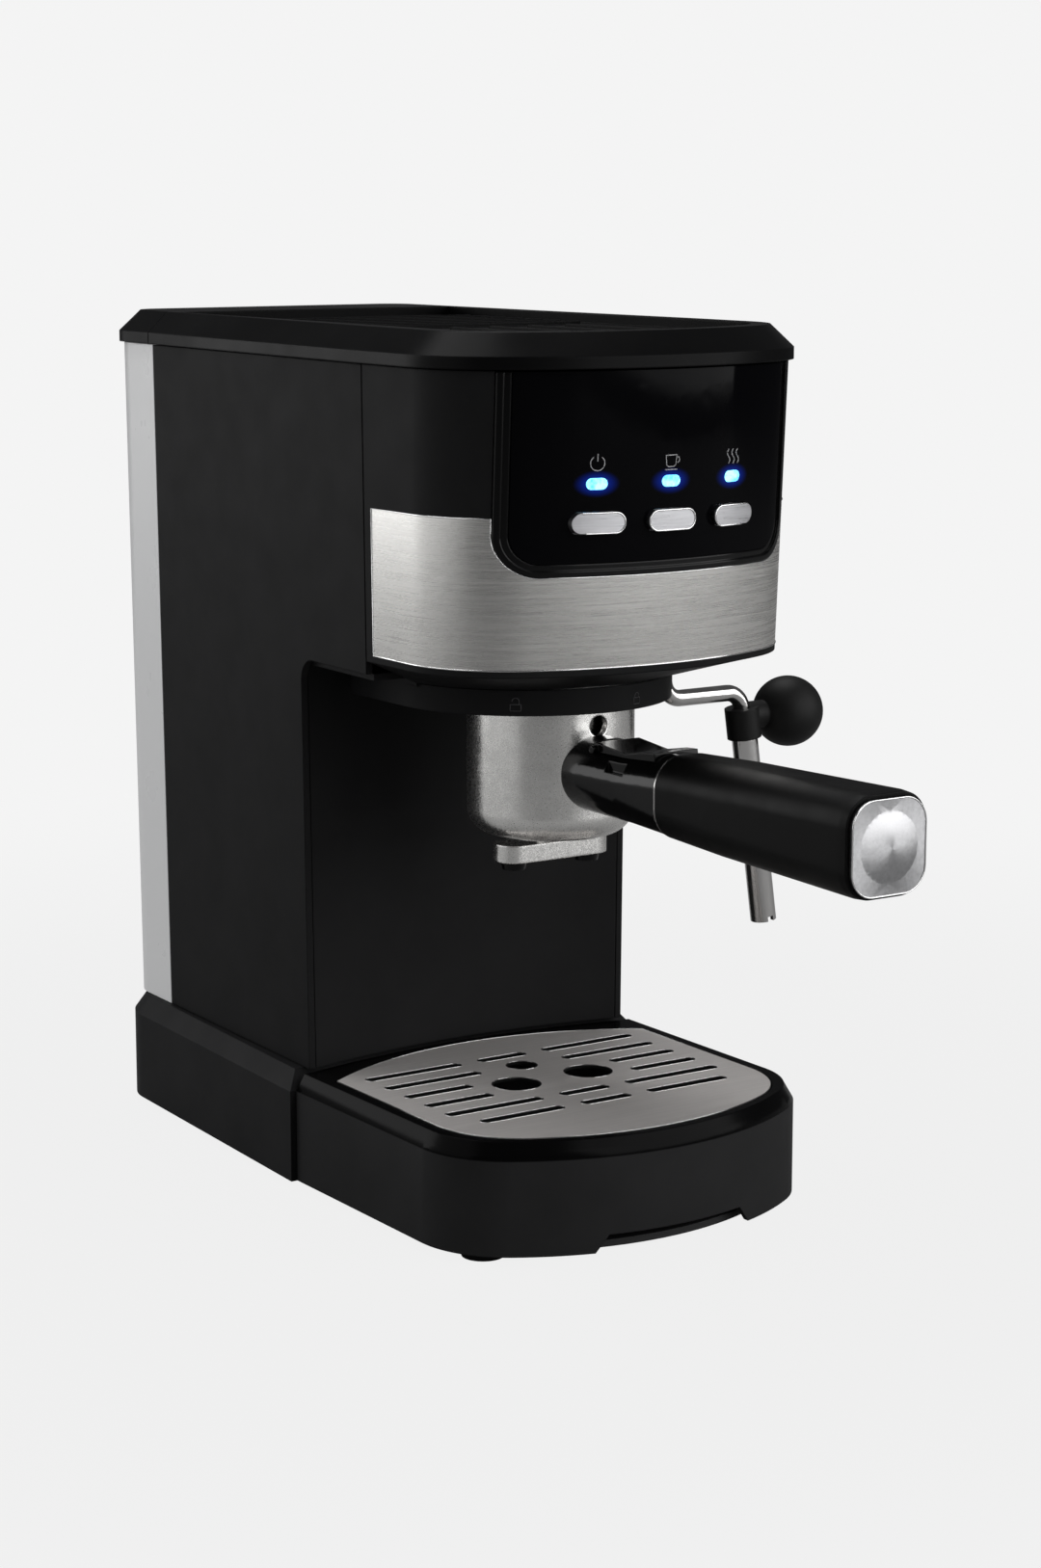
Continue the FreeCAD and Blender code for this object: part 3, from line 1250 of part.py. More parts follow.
def build_tray():
    low = D.foot_height + 0.3
    wall_block = extrude("tray_wall_block", profile("tray_outline", tray_path(0, 0), (0, 0, low)),
                         D.base_bevel - low)
    crown = loft("tray_crown", profile("tray_step", tray_path(0, 0), (0, 0, D.base_bevel)),
                 profile("tray_shoulder", tray_path(3.4, 0), (0, 0, D.tray_rim)))
    skirt = extrude("tray_skirt_room", profile("skirt_path", tray_path(2.2, 2.2), (0, 0, low - 1)), 7.5)
    rear_open = box("skirt_rear_way", (138, 30, 5.0), (-69, -30, low - 1))
    basin = extrude("tray_basin", profile("basin_path", tray_path(5.4, 5.0), (0, 0, low + 8.5)), 60)
    ledge = extrude("grate_ledge", profile("ledge_path", grate_path(-0.5), (0, 0, D.tray_rim - 1.5)), 10)
    deep = extrude("tray_deep", profile("deep_path", grate_path(2.4), (0, 0, low + 8.5)), 60)
    notch = front_prism("finger_notch", [(-33, 2), (-27, 9.8), (27, 9.8), (33, 2)][::-1], 160, 40)
    whole = fuse("tray_full", wall_block, crown)
    finish("drip_tray", cut("tray_cut", whole, skirt, rear_open, deep, ledge, notch))


def slot_prism(name, left, right, y):
    """Through slot with round ends, lying along X."""
    path = pill(right - left, D.slot_width, (left + right) / 2, y)
    return extrude(name, profile(name + "_path", path, (0, 0, 35)), 15)


def build_grate():
    low = D.tray_rim - 1.2
    plate = extrude("grate_plate", profile("grate_outline", grate_path(0), (0, 0, low)), 1.3)
    tools = []
    rows = ((17.6, 56.8), (17.6, 56.8), (29.4, 56.8), (29.4, 56.8), (17.6, 56.8), (17.6, 51.2))
    for row, (inner, outer) in enumerate(rows):
        y = -(D.slot_first + row * D.slot_pitch)
        for side in (-1, 1):
            ends = sorted((side * inner, side * outer))
            tools.append(slot_prism(f"slot_{row}_{'left' if side < 0 else 'right'}", ends[0], ends[1], y))
        if row in (0, 4, 5):
            tools.append(slot_prism(f"slot_{row}_middle", -10.1, 10.1, y))
    for index, (x, y, radius) in enumerate(((-15.2, -65, 8.7), (15.2, -65, 8.7), (0, -45.4, 5.7))):
        tools.append(cylinder(f"drain_{index}", radius, 20, (x, y, 33)))
    finish("drip_grate", cut("grate_cut", plate, *tools))


# ---------------------------------------------------------------- output

def check_and_write():
    document.recompute()
    faults = []
    for item in document.Objects:
        if "Invalid" in item.State or "Error" in item.State:
            faults.append(f"{item.Name} {item.State}")
    for item in nodes:
        shape = item.Shape
        if shape.isNull() or not shape.isValid() or not shape.Solids:
            faults.append(f"{item.Label} has no valid solid")
    if faults:
        raise RuntimeError("; ".join(faults))
    os.makedirs("parts", exist_ok=True)
    for item in nodes:
        item.Shape.exportStep(f"parts/{item.Label}.step")
        print(item.Label, len(item.Shape.Solids), round(item.Shape.Volume, 1))
    print(len(nodes), "sub-parts written")


build_base()
build_sides()
build_column()
build_head_shell()
build_panel()
build_underside()
build_group()
build_boiler()
build_pump()
build_knob()
build_portafilter()
build_wand()
build_top()
build_tank()
build_tray()
build_grate()
check_and_write()
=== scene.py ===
"""Looks of the espresso machine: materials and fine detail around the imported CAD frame."""

import math

import bmesh
import bpy
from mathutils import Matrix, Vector
from mathutils.bvhtree import BVHTree


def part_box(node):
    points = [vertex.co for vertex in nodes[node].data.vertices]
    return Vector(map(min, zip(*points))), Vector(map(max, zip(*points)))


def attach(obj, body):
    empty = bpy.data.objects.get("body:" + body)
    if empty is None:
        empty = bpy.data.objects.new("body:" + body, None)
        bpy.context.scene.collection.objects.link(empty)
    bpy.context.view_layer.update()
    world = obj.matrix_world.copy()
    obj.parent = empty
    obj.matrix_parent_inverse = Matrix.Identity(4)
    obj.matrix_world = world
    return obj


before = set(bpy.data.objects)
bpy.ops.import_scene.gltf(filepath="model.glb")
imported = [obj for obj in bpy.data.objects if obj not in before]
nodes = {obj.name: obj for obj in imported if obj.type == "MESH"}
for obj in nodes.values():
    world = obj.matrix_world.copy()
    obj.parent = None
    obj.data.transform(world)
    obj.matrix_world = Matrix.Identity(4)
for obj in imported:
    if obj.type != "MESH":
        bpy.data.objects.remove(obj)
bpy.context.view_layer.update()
scene = bpy.context.scene

# Lengths are in metres, angles in radians and powers in watts where nothing else is said.
CAMERA_LENS = 74.78                         # millimetres
CAMERA_PLACE = (-0.6222, -0.9830, 0.3494)
CAMERA_BACK = (-0.5437, -0.8200, 0.1792)    # from the middle of the view towards the camera
LIGHT_TARGET = (0, -0.02, 0.17)
LIGHTS = (                                  # name, place, width, height, power
    ("left_box", (-1.45, 0.42, 0.55), 2.0, 1.5, 7.5),
    ("front_box", (0.85, -1.45, 0.75), 2.2, 1.5, 28),
    ("top_box", (0.0, 0.5, 1.6), 1.5, 1.0, 16),
    ("rear_box", (-1.0, 1.45, 0.6), 1.0, 1.2, 8),
)
BACKDROP = (0.905, 0.905, 0.905, 1)         # what the camera sees around the machine
ROOM = (0.075, 0.075, 0.077, 1)             # what lights the machine and shows in it

BEVEL_SAMPLES = 6
SOFT_EDGE = 0.0006                          # radius on the edges of grained mouldings
GLOSS_EDGE = 0.0007                         # the same on polished mouldings and castings
RUBBER_EDGE = 0.0008
METAL_EDGE = 0.0003
GRAIN_DEPTH = 0.00003                       # height of the grain in plastic and rubber
SCRATCH_DEPTH = 0.00004
LENS_GLOW_FROM, LENS_GLOW_TO = 0.0014, 0.0046
LENS_GLOW_SQUEEZE = (0.55, 0.4, 1.0)        # makes the glow wider than it is tall

CREASE = 0.62                               # faces that meet at less are shaded as one
SHARP = 0.9                                 # edges that turn by more can carry a bead
EDGE_BEAD = 0.00028                         # radii of the beads and of the printed lines
BUTTON_BEAD = 0.00032
GRATE_BEAD = 0.00011
PANEL_LINE = 0.00016
COLLAR_LINE = 0.00013
ARC_STEPS = 14
LINE_STEP = 0.0008                          # longest step of a printed line over its surface

TRAY_RIM = 0.0059                           # height of the tray's polished rim
BAND_CENTRE_Y = -0.03
CAP_EDGE_DEPTH = 0.0025
BUTTON_FACE_DEPTH = 0.003
PANEL_ICON_RISE, PANEL_ICON_SIZE = 0.0066, 0.0024
LOCK_RISE, LOCK_SIZE = 0.0036, 0.0018
UNLOCK_X, LOCK_X = -0.031, 0.012

BUTTONS = {"power": "power_button", "brew": "brew_button", "steam": "steam_button"}   # body: node


# ---------------------------------------------------------------- camera and light

def look_along(item, back):
    """Turn an object so that its local +Z points along back."""
    item.rotation_mode = "QUATERNION"
    item.rotation_quaternion = (-Vector(back)).to_track_quat("-Z", "Y")


def make_camera():
    data = bpy.data.cameras.new("camera")
    data.lens = CAMERA_LENS
    data.clip_start = 0.05
    camera = bpy.data.objects.new("camera", data)
    scene.collection.objects.link(camera)
    camera.location = CAMERA_PLACE
    look_along(camera, CAMERA_BACK)
    scene.camera = camera


def area_light(name, place, width, height, power):
    """Soft box at a place, aimed at the machine."""
    data = bpy.data.lights.new(name, "AREA")
    data.shape = "RECTANGLE"
    data.size = width
    data.size_y = height
    data.energy = power
    lamp = bpy.data.objects.new(name, data)
    scene.collection.objects.link(lamp)
    lamp.location = place
    look_along(lamp, Vector(place) - Vector(LIGHT_TARGET))


def make_world():
    """Pale backdrop for the camera and a dimmer room for light and reflections."""
    world = bpy.data.worlds.new("studio")
    world.use_nodes = True
    tree = world.node_tree
    tree.nodes.clear()
    out = tree.nodes.new("ShaderNodeOutputWorld")
    mix = tree.nodes.new("ShaderNodeMixShader")
    path = tree.nodes.new("ShaderNodeLightPath")
    seen = tree.nodes.new("ShaderNodeBackground")
    room = tree.nodes.new("ShaderNodeBackground")
    seen.inputs["Color"].default_value = BACKDROP
    room.inputs["Color"].default_value = ROOM
    tree.links.new(path.outputs["Is Camera Ray"], mix.inputs["Fac"])
    tree.links.new(room.outputs[0], mix.inputs[1])
    tree.links.new(seen.outputs[0], mix.inputs[2])
    tree.links.new(mix.outputs[0], out.inputs[0])
    scene.world = world


# ---------------------------------------------------------------- materials

class Shader:
    """A material with one Principled shader and short calls for its texture nodes."""

    def __init__(self, name, colour, roughness, metallic=0.0, **sockets):
        self.material = bpy.data.materials.new(name)
        self.material.use_nodes = True
        self.tree = self.material.node_tree
        self.surface = self.tree.nodes["Principled BSDF"]
        self.set("Base Color", (*colour, 1))
        self.set("Roughness", roughness)
        self.set("Metallic", metallic)
        for socket, value in sockets.items():
            self.set(socket.replace("_", " "), value)
        self.colour = colour
        self.normal = None

    def set(self, socket, value):
        self.surface.inputs[socket].default_value = value

    def link(self, source, socket):
        self.tree.links.new(source, self.surface.inputs[socket])

    def fill(self, made, inputs):
        """Give a node its inputs: pairs of a name or number and a socket or constant."""
        for key, value in inputs:
            if isinstance(value, bpy.types.NodeSocket):
                self.tree.links.new(value, made.inputs[key])
            else:
                made.inputs[key].default_value = value
        return made

    def node(self, kind, **inputs):
        """New node with its inputs by name; an underscore stands for a space."""
        named = [(name.replace("_", " "), value) for name, value in inputs.items()]
        return self.fill(self.tree.nodes.new(kind), named)

    def ordered(self, kind, *values, **settings):
        """New node with its settings by name and its inputs in their order."""
        made = self.tree.nodes.new(kind)
        for setting, value in settings.items():
            setattr(made, setting, value)
        return self.fill(made, enumerate(values))

    def place(self, stretch=(1, 1, 1)):
        """Object coordinates in metres, stretched."""
        where = self.tree.nodes.new("ShaderNodeTexCoord").outputs["Object"]
        return self.node("ShaderNodeMapping", Vector=where, Scale=stretch).outputs[0]

    def noise(self, scale, stretch=(1, 1, 1), detail=3.0, rough=0.55):
        return self.node("ShaderNodeTexNoise", Vector=self.place(stretch), Scale=scale, Detail=detail,
                         Roughness=rough).outputs["Fac"]

    def spread(self, factor, low, high):
        """Map a noise, which is mostly within 0.25..0.75, to low..high."""
        return self.node("ShaderNodeMapRange", Value=factor, From_Min=0.25, From_Max=0.75,
                         To_Min=low, To_Max=high).outputs[0]

    def fade(self, value, start, end, first, last):
        """Smooth change from first to last while a value goes from start to end."""
        made = self.node("ShaderNodeMapRange", Value=value, From_Min=start, From_Max=end,
                         To_Min=first, To_Max=last)
        made.interpolation_type = "SMOOTHSTEP"
        return made.outputs[0]

    def above(self, low, high):
        """Mask that is 0 below one height and 1 above another."""
        parts = self.node("ShaderNodeSeparateXYZ", Vector=self.place())
        return self.node("ShaderNodeMapRange", Value=parts.outputs["Z"], From_Min=low,
                         From_Max=high).outputs[0]

    def distance(self, place, centre=(0, 0, 0), squeeze=(1, 1, 1)):
        """Distance from a centre, with each axis counted as its squeeze says."""
        offset = self.ordered("ShaderNodeVectorMath", place, centre, operation="SUBTRACT")
        flat = self.ordered("ShaderNodeVectorMath", offset.outputs[0], squeeze, operation="MULTIPLY")
        return self.ordered("ShaderNodeVectorMath", flat.outputs[0], operation="LENGTH").outputs["Value"]

    def blend(self, factor, first, second):
        """Mix of two colours, each a constant or a socket."""
        mix = self.tree.nodes.new("ShaderNodeMix")
        mix.data_type = "RGBA"
        first, second = (colour if isinstance(colour, bpy.types.NodeSocket) else (*colour, 1)
                         for colour in (first, second))
        return self.fill(mix, (("Factor", factor), ("A", first), ("B", second))).outputs["Result"]

    def tinted(self, factor, dark, light):
        """The base colour times dark to light."""
        darker, lighter = ([part * share for part in self.colour] for share in (dark, light))
        return self.blend(self.spread(factor, 0, 1), darker, lighter)

    def rounded(self, radius):
        """Soft edges of a moulding or casting; comes before any bump."""
        bevel = self.node("ShaderNodeBevel", Radius=radius)
        bevel.samples = BEVEL_SAMPLES
        self.normal = bevel.outputs[0]
        self.link(self.normal, "Normal")
        return self

    def bump(self, height, strength, distance):
        made = self.node("ShaderNodeBump", Height=height, Strength=strength, Distance=distance)
        if self.normal is not None:
            self.tree.links.new(self.normal, made.inputs["Normal"])
        self.normal = made.outputs[0]
        self.link(self.normal, "Normal")
        return self

    def vary_roughness(self, factor, low, high):
        self.link(self.spread(factor, low, high), "Roughness")

    def vary_colour(self, factor, dark, light):
        self.link(self.tinted(factor, dark, light), "Base Color")


def textured_plastic(name, shade, roughness, specular):
    """Moulded plastic with a fine spark-eroded grain, from black to pale grey."""
    colour = (shade, shade, shade * 1.03)
    shader = Shader(name, colour, roughness, Specular_IOR_Level=specular).rounded(SOFT_EDGE)
    shader.vary_colour(shader.noise(35, detail=4), 0.88, 1.12)
    shader.vary_roughness(shader.noise(60, detail=5), roughness - 0.05, roughness + 0.05)
    return shader.bump(shader.noise(2600, detail=2), 0.25, GRAIN_DEPTH).material


def tray_plastic(rim_start):
    """Base plastic whose upper rim is polished from a given height on; the rim's colour is also dropped
    near black, painted shade against the stronger light on its upward-facing bevel.
    """
    shader = Shader("tray_black", (0.0230, 0.0230, 0.0235), 0.42, Specular_IOR_Level=0.035)
    shader.rounded(SOFT_EDGE)
    polish_and_shade = shader.above(rim_start - 0.0002, rim_start + 0.0002)
    plain = shader.tinted(shader.noise(35, detail=4), 0.88, 1.12)
    # The rim's near-black colour is painted shade; the lower roughness set below is its real polish.
    shader.link(shader.blend(polish_and_shade, plain, (0.0025, 0.0025, 0.0026)), "Base Color")
    grainy = shader.spread(shader.noise(60, detail=5), 0.38, 0.48)
    rough = shader.node("ShaderNodeMapRange", Value=polish_and_shade, To_Min=grainy, To_Max=0.20)
    shader.link(rough.outputs[0], "Roughness")
    return shader.bump(shader.noise(2600, detail=2), 0.15, GRAIN_DEPTH).material


def gloss_plastic(name, shade, roughness=0.12, specular=0.22):
    """Polished black plastic with a faint unevenness in its reflections."""
    colour = (shade, shade, shade * 1.05)
    shader = Shader(name, colour, roughness, Specular_IOR_Level=specular).rounded(GLOSS_EDGE)
    shader.vary_roughness(shader.noise(18, detail=3), roughness * 0.7, roughness * 1.5)
    return shader.bump(shader.noise(45, detail=1), 0.04, 0.0004).material


def brushed_metal(name, colour, roughness, stretch, axis="Z", anisotropy=0.75, grain=0.12):
    """Metal with long parallel scratches: stretch is small along them and large across."""
    shader = Shader(name, colour, roughness, 1.0, Anisotropic=anisotropy).rounded(METAL_EDGE)
    scratches = shader.noise(1.0, stretch, detail=4, rough=0.7)
    shader.vary_colour(scratches, 0.84, 1.1)
    shader.vary_roughness(scratches, roughness - 0.07, roughness + 0.1)
    tangent = shader.ordered("ShaderNodeTangent", direction_type="RADIAL", axis=axis)
    shader.link(tangent.outputs[0], "Tangent")
    return shader.bump(scratches, grain, SCRATCH_DEPTH).material


def punched_sheet(top):
    """Satin sheet of the grate: brushed on top, with the walls of its slots painted near black as
    painted shade for the shadow down the slots.
    """
    shader = Shader("grate_satin", (0.74, 0.71, 0.69), 0.42, 0.45, Anisotropic=0.4)
    scratches = shader.noise(1.0, (40, 2200, 2200), detail=4, rough=0.7)
    face = shader.above(top - 0.00025, top - 0.00005)
    brushed = shader.tinted(scratches, 0.88, 1.08)
    # Below the top face the colour drops to near black: painted shade on the slot walls, not a stain.
    shader.link(shader.blend(face, (0.006, 0.006, 0.006), brushed), "Base Color")
    shader.vary_roughness(scratches, 0.36, 0.5)
    return shader.bump(scratches, 0.08, SCRATCH_DEPTH).material


def cast_metal(name, colour, roughness, grain):
    """Tumbled die casting: wavy skin with a granular glint."""
    shader = Shader(name, colour, roughness, 1.0).rounded(GLOSS_EDGE)
    grains = shader.noise(1500, detail=3, rough=0.7)
    shader.vary_colour(shader.noise(160, detail=5), 0.90, 1.05)
    shader.vary_roughness(grains, roughness - 0.09, roughness + 0.11)
    shader.bump(shader.noise(70, detail=2), 0.18, 0.0006)
    return shader.bump(grains, grain, 0.00008).material


def polished_metal(name, colour, roughness=0.12):
    """Bright metal with faint cloudiness and waves."""
    shader = Shader(name, colour, roughness, 1.0).rounded(METAL_EDGE)
    shader.vary_roughness(shader.noise(220, detail=4), roughness * 0.6, roughness * 1.8)
    return shader.bump(shader.noise(90, detail=2), 0.05, 0.0003).material


def soft_rubber(name, shade, roughness, grain=0.3, specular=0.2):
    """Matt rubber or silicone with a very fine grain."""
    colour = (shade, shade, shade)
    shader = Shader(name, colour, roughness, Specular_IOR_Level=specular).rounded(RUBBER_EDGE)
    shader.vary_colour(shader.noise(50, detail=4), 0.85, 1.2)
    shader.vary_roughness(shader.noise(90, detail=4), roughness - 0.06, roughness + 0.06)
    return shader.bump(shader.noise(3200, detail=2), grain, GRAIN_DEPTH).material


def milky_plastic():
    """Water tank: opaque milky plastic, with a weak glow for the light that comes through it."""
    shader = Shader("tank_frosted", (0.60, 0.605, 0.61), 0.28, Specular_IOR_Level=0.3,
                    Emission_Strength=0.08)
    shader.set("Emission Color", (1.0, 1.0, 1.0, 1))
    shader.vary_colour(shader.noise(9, (1, 1, 0.1), detail=1), 0.97, 1.03)
    shader.vary_roughness(shader.noise(60, detail=3), 0.26, 0.32)
    return shader.bump(shader.noise(1800, detail=2), 0.05, GRAIN_DEPTH).material


def lit_lens():
    """Lit lens: patches of bright cyan in a deeper blue."""
    shader = Shader("lens_lit", (0.2, 0.6, 1.0), 0.2, Emission_Strength=2.3)
    ramp = shader.ordered("ShaderNodeValToRGB", shader.noise(420, detail=2))
    blue, cyan = ramp.color_ramp.elements
    blue.position, blue.color = 0.35, (0.02, 0.22, 1.0, 1)
    cyan.position, cyan.color = 0.62, (0.25, 0.85, 1.0, 1)
    shader.link(ramp.outputs[0], "Emission Color")
    return shader.material


def glossy_panel(lens_places):
    """Glossy panel; each lens spills a little blue light into the plastic around it."""
    shader = Shader("panel_gloss", (0.002, 0.002, 0.0025), 0.06, Specular_IOR_Level=0.04,
                    Emission_Strength=1.0)
    where = shader.place()
    total = 0.0
    for centre in lens_places:
        away = shader.distance(where, centre, LENS_GLOW_SQUEEZE)
        glow = shader.fade(away, LENS_GLOW_FROM, LENS_GLOW_TO, 1.0, 0.0)
        total = shader.ordered("ShaderNodeMath", total, glow, operation="ADD").outputs[0]
    shader.link(shader.blend(total, (0, 0, 0), (0.002, 0.014, 0.20)), "Emission Color")
    shader.vary_roughness(shader.noise(20, detail=3), 0.04, 0.08)
    return shader.material


# ---------------------------------------------------------------- geometry helpers

def welded(node):
    """A bmesh of the node with its split vertices joined."""
    bm = bmesh.new()
    bm.from_mesh(nodes[node].data)
    bmesh.ops.remove_doubles(bm, verts=bm.verts, dist=1e-6)
    bm.normal_update()
    return bm


def surface_tree(node):
    """Tree for casting rays at a node."""
    bm = welded(node)
    tree = BVHTree.FromBMesh(bm)
    bm.free()
    return tree


def sharp_edges(node, keep):
    """Runs of a node's sharp edges whose middles pass keep, each as (points, closed)."""
    bm = welded(node)
    chosen = set()
    for edge in bm.edges:
        if len(edge.link_faces) == 2 and edge.calc_face_angle(0) > SHARP:
            if keep((edge.verts[0].co + edge.verts[1].co) / 2):
                chosen.add(edge)
    runs = []
    while chosen:
        edge = min(chosen, key=lambda item: item.index)
        chosen.discard(edge)
        run = [edge.verts[0], edge.verts[1]]
        for _ in ("forwards", "backwards"):
            following = [item for item in run[-1].link_edges if item in chosen]
            while following:
                chosen.discard(following[0])
                run.append(following[0].other_vert(run[-1]))
                following = [item for item in run[-1].link_edges if item in chosen]
            run.reverse()
        closed = run[0] is run[-1] and len(run) > 3
        points = [vert.co.copy() for vert in run]
        runs.append((points[:-1] if closed else points, closed))
    bm.free()
    return runs


def wire_piece(name, runs, radius, body, material):
    """Thin round beads along runs of points, as a piece that rides on a body."""
    curve = bpy.data.curves.new(name, "CURVE")
    curve.dimensions = "3D"
    curve.bevel_depth = radius
    curve.bevel_resolution = 2
    for points, closed in runs:
        spline = curve.splines.new("POLY")
        spline.points.add(len(points) - 1)
        for target, point in zip(spline.points, points):
            target.co = (*point, 1)
        spline.use_cyclic_u = closed
    curve.materials.append(material)
    piece = bpy.data.objects.new(name, curve)
    scene.collection.objects.link(piece)
    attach(piece, body)


def on_front(tree, x, z, proud=0.0):
    """Point of a front-facing surface at a place across and a height."""
    hit = tree.ray_cast(Vector((x, -1, z)), Vector((0, 1, 0)))[0]
    return Vector((x, hit.y - proud, z))


def arc_points(cx, cz, radius, first, last):
    """Points of an arc in the front view; angles in degrees."""
    points = []
    for index in range(ARC_STEPS + 1):
        angle = math.radians(first + (last - first) * index / ARC_STEPS)
        points.append((cx + radius * math.cos(angle), cz + radius * math.sin(angle)))
    return points


def dense(points, closed):
    """Front-view points with more of them on long stretches, so they follow a curved panel."""
    result = []
    following = points[1:] + points[:1] if closed else points[1:]
    for (ax, az), (bx, bz) in zip(points, following):
        count = max(1, round(math.hypot(bx - ax, bz - az) / LINE_STEP))
        for index in range(count):
            share = index / count
            result.append((ax + (bx - ax) * share, az + (bz - az) * share))
    return result if closed else result + [points[-1]]


def icon(name, tree, strokes, centre, size, radius, material):
    """Symbol printed on the housing: strokes are unit drawings, each (points, closed)."""
    runs = []
    for points, closed in strokes:
        scaled = [(centre[0] + x * size, centre[1] + z * size) for x, z in points]
        runs.append(([on_front(tree, x, z, radius * 0.25) for x, z in dense(scaled, closed)], closed))
    wire_piece(name, runs, radius, "housing", material)


def smooth_normals(data):
    """Shade curved faces smoothly and keep creases; only the normals change."""
    corners = {}
    for face in data.polygons:
        for corner, vertex in zip(face.loop_indices, face.vertices):
            key = tuple(round(part, 6) for part in data.vertices[vertex].co)
            corners.setdefault(key, []).append((corner, face.normal.copy(), face.area))
    normals = [None] * len(data.loops)
    limit = math.cos(CREASE)
    for meeting in corners.values():
        for corner, own, _ in meeting:
            total = Vector((0, 0, 0))
            for _, other, area in meeting:
                if own.dot(other) > limit:
                    total += other * (area + 1e-12)
            normals[corner] = total.normalized() if total.length > 0 else own
    data.shade_smooth()
    data.normals_split_custom_set(normals)


# ---------------------------------------------------------------- looks of the CAD nodes

body_black = textured_plastic("body_black", 0.0135, 0.46, 0.035)
base_black = textured_plastic("base_black", 0.0180, 0.42, 0.03)
dark_inside = textured_plastic("inside_black", 0.02, 0.6, 0.3)
board_coated = textured_plastic("board_coated", 0.03, 0.4, 0.5)
print_grey = textured_plastic("print_grey", 0.55, 0.5, 0.3)
print_dark = textured_plastic("print_dark", 0.09, 0.5, 0.3)
tray_black = tray_plastic(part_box("drip_tray")[1].z - TRAY_RIM)
gloss_black = gloss_plastic("gloss_black", 0.003)
cover_black = gloss_plastic("cover_black", 0.004, 0.30, 0.05)
brushed_band = brushed_metal("band_brushed", (0.74, 0.73, 0.71), 0.27, (30, 30, 2600))
button_silver = brushed_metal("button_silver", (0.60, 0.60, 0.62), 0.30, (60, 60, 1800), "Z", 0.3, 0.03)
cap_silver = brushed_metal("cap_silver", (0.50, 0.50, 0.51), 0.36, (900, 30, 900), "Y", 0.7, 0.05)
grate_steel = punched_sheet(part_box("drip_grate")[1].z)
cast_aluminium = cast_metal("aluminium_cast", (0.95, 0.94, 0.92), 0.23, 0.14)
inner_casting = cast_metal("aluminium_inner", (0.42, 0.42, 0.42), 0.45, 0.4)
bright_steel = polished_metal("steel_bright", (0.72, 0.71, 0.70))
edge_steel = polished_metal("steel_edge", (0.85, 0.85, 0.85), 0.1)
screw_steel = polished_metal("screw_zinc", (0.45, 0.45, 0.46), 0.3)
brass = polished_metal("valve_brass", (0.62, 0.44, 0.19), 0.25)
grip_black = soft_rubber("grip_soft", 0.0030, 0.40, 0.25, 0.08)
rubber = soft_rubber("rubber_black", 0.0055, 0.55)
hose_white = soft_rubber("hose_silicone", 0.62, 0.45, 0.1)
tank_frosted = milky_plastic()
lens_lit = lit_lens()

button_middles = []
for button in BUTTONS.values():
    low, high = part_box(button)
    button_middles.append((low.x + high.x) / 2)
lens_low, lens_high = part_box("led_lenses")
lens_level = (lens_low.z + lens_high.z) / 2
lens_tree = surface_tree("led_lenses")
panel_gloss = glossy_panel([on_front(lens_tree, x, lens_level) for x in button_middles])

LOOKS = (
    (body_black, ("left_side_panel", "right_side_panel", "column_front_panel", "head_front_shell",
                  "head_underside", "group_collar")),
    (base_black, ("base_housing",)),
    (tray_black, ("drip_tray",)),
    (dark_inside, ("base_plate", "tank_bay_wall", "microswitches", "thermostats", "water_pump",
                   "pump_cradle", "tank_valve", "tank_dock")),
    (gloss_black, ("panel_bezel", "handle_neck", "basket_guard", "spout_nozzles")),
    (cover_black, ("top_cover", "tank_lid")),
    (panel_gloss, ("control_fascia",)),
    (brushed_band, ("steel_band",)),
    (grate_steel, ("drip_grate",)),
    (cast_aluminium, ("portafilter_cup", "spout_bracket")),
    (inner_casting, ("group_head", "thermoblock")),
    (bright_steel, ("shower_screen", "shower_screw", "steam_pipe", "wand_tube", "froth_sleeve",
                    "filter_basket", "handle_seam_ring", "wand_socket")),
    (button_silver, tuple(BUTTONS.values())),
    (cap_silver, ("handle_end_cap",)),
    (grip_black, ("handle_grip", "steam_knob")),
    (rubber, ("rubber_feet", "cord_inlet_gland", "group_gasket", "pump_mounts", "wand_ball_grip")),
    (screw_steel, ("base_screws", "boiler_bolts", "valve_spindle", "basket_spring", "handle_bolt")),
    (brass, ("steam_valve",)),
    (hose_white, ("suction_hose", "pressure_hose")),
    (board_coated, ("control_board",)),
    (tank_frosted, ("water_tank",)),
    (lens_lit, ("led_lenses",)),
)


def dress_nodes():
    """Every CAD node gets its material and smooth shading up to its creases."""
    for material, members in LOOKS:
        for member in members:
            data = nodes[member].data
            data.materials.clear()
            data.materials.append(material)
            smooth_normals(data)


# ---------------------------------------------------------------- added pieces and floor

def band_edges():
    """Polished edge line all round the brushed band."""
    tree = surface_tree("steel_band")

    def outside(middle):
        outwards = Vector((middle.x, middle.y - BAND_CENTRE_Y, 0)).normalized()
        return tree.ray_cast(middle + outwards * 0.0002, outwards)[0] is None

    runs = sharp_edges("steel_band", outside)
    wire_piece("band_polished_edge", runs, EDGE_BEAD, "housing", edge_steel)


def button_rims():
    """Bright rim round the face of each button."""
    for body, button in BUTTONS.items():
        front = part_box(button)[0].y
        runs = sharp_edges(button, lambda middle: middle.y < front + BUTTON_FACE_DEPTH)
        wire_piece(button + "_rim", runs, BUTTON_BEAD, body, edge_steel)


def cap_edge():
    """Bright turned edge of the handle's end plate."""
    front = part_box("handle_end_cap")[0].y
    runs = sharp_edges("handle_end_cap", lambda middle: front < middle.y < front + CAP_EDGE_DEPTH)
    wire_piece("cap_polished_edge", runs, EDGE_BEAD, "portafilter", edge_steel)


def grate_edges():
    """Rolled bright edges of the slots and of the grate's rim."""
    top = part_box("drip_grate")[1].z
    runs = sharp_edges("drip_grate", lambda middle: middle.z > top - 0.0002)
    wire_piece("grate_rolled_edges", runs, GRATE_BEAD, "grate", edge_steel)


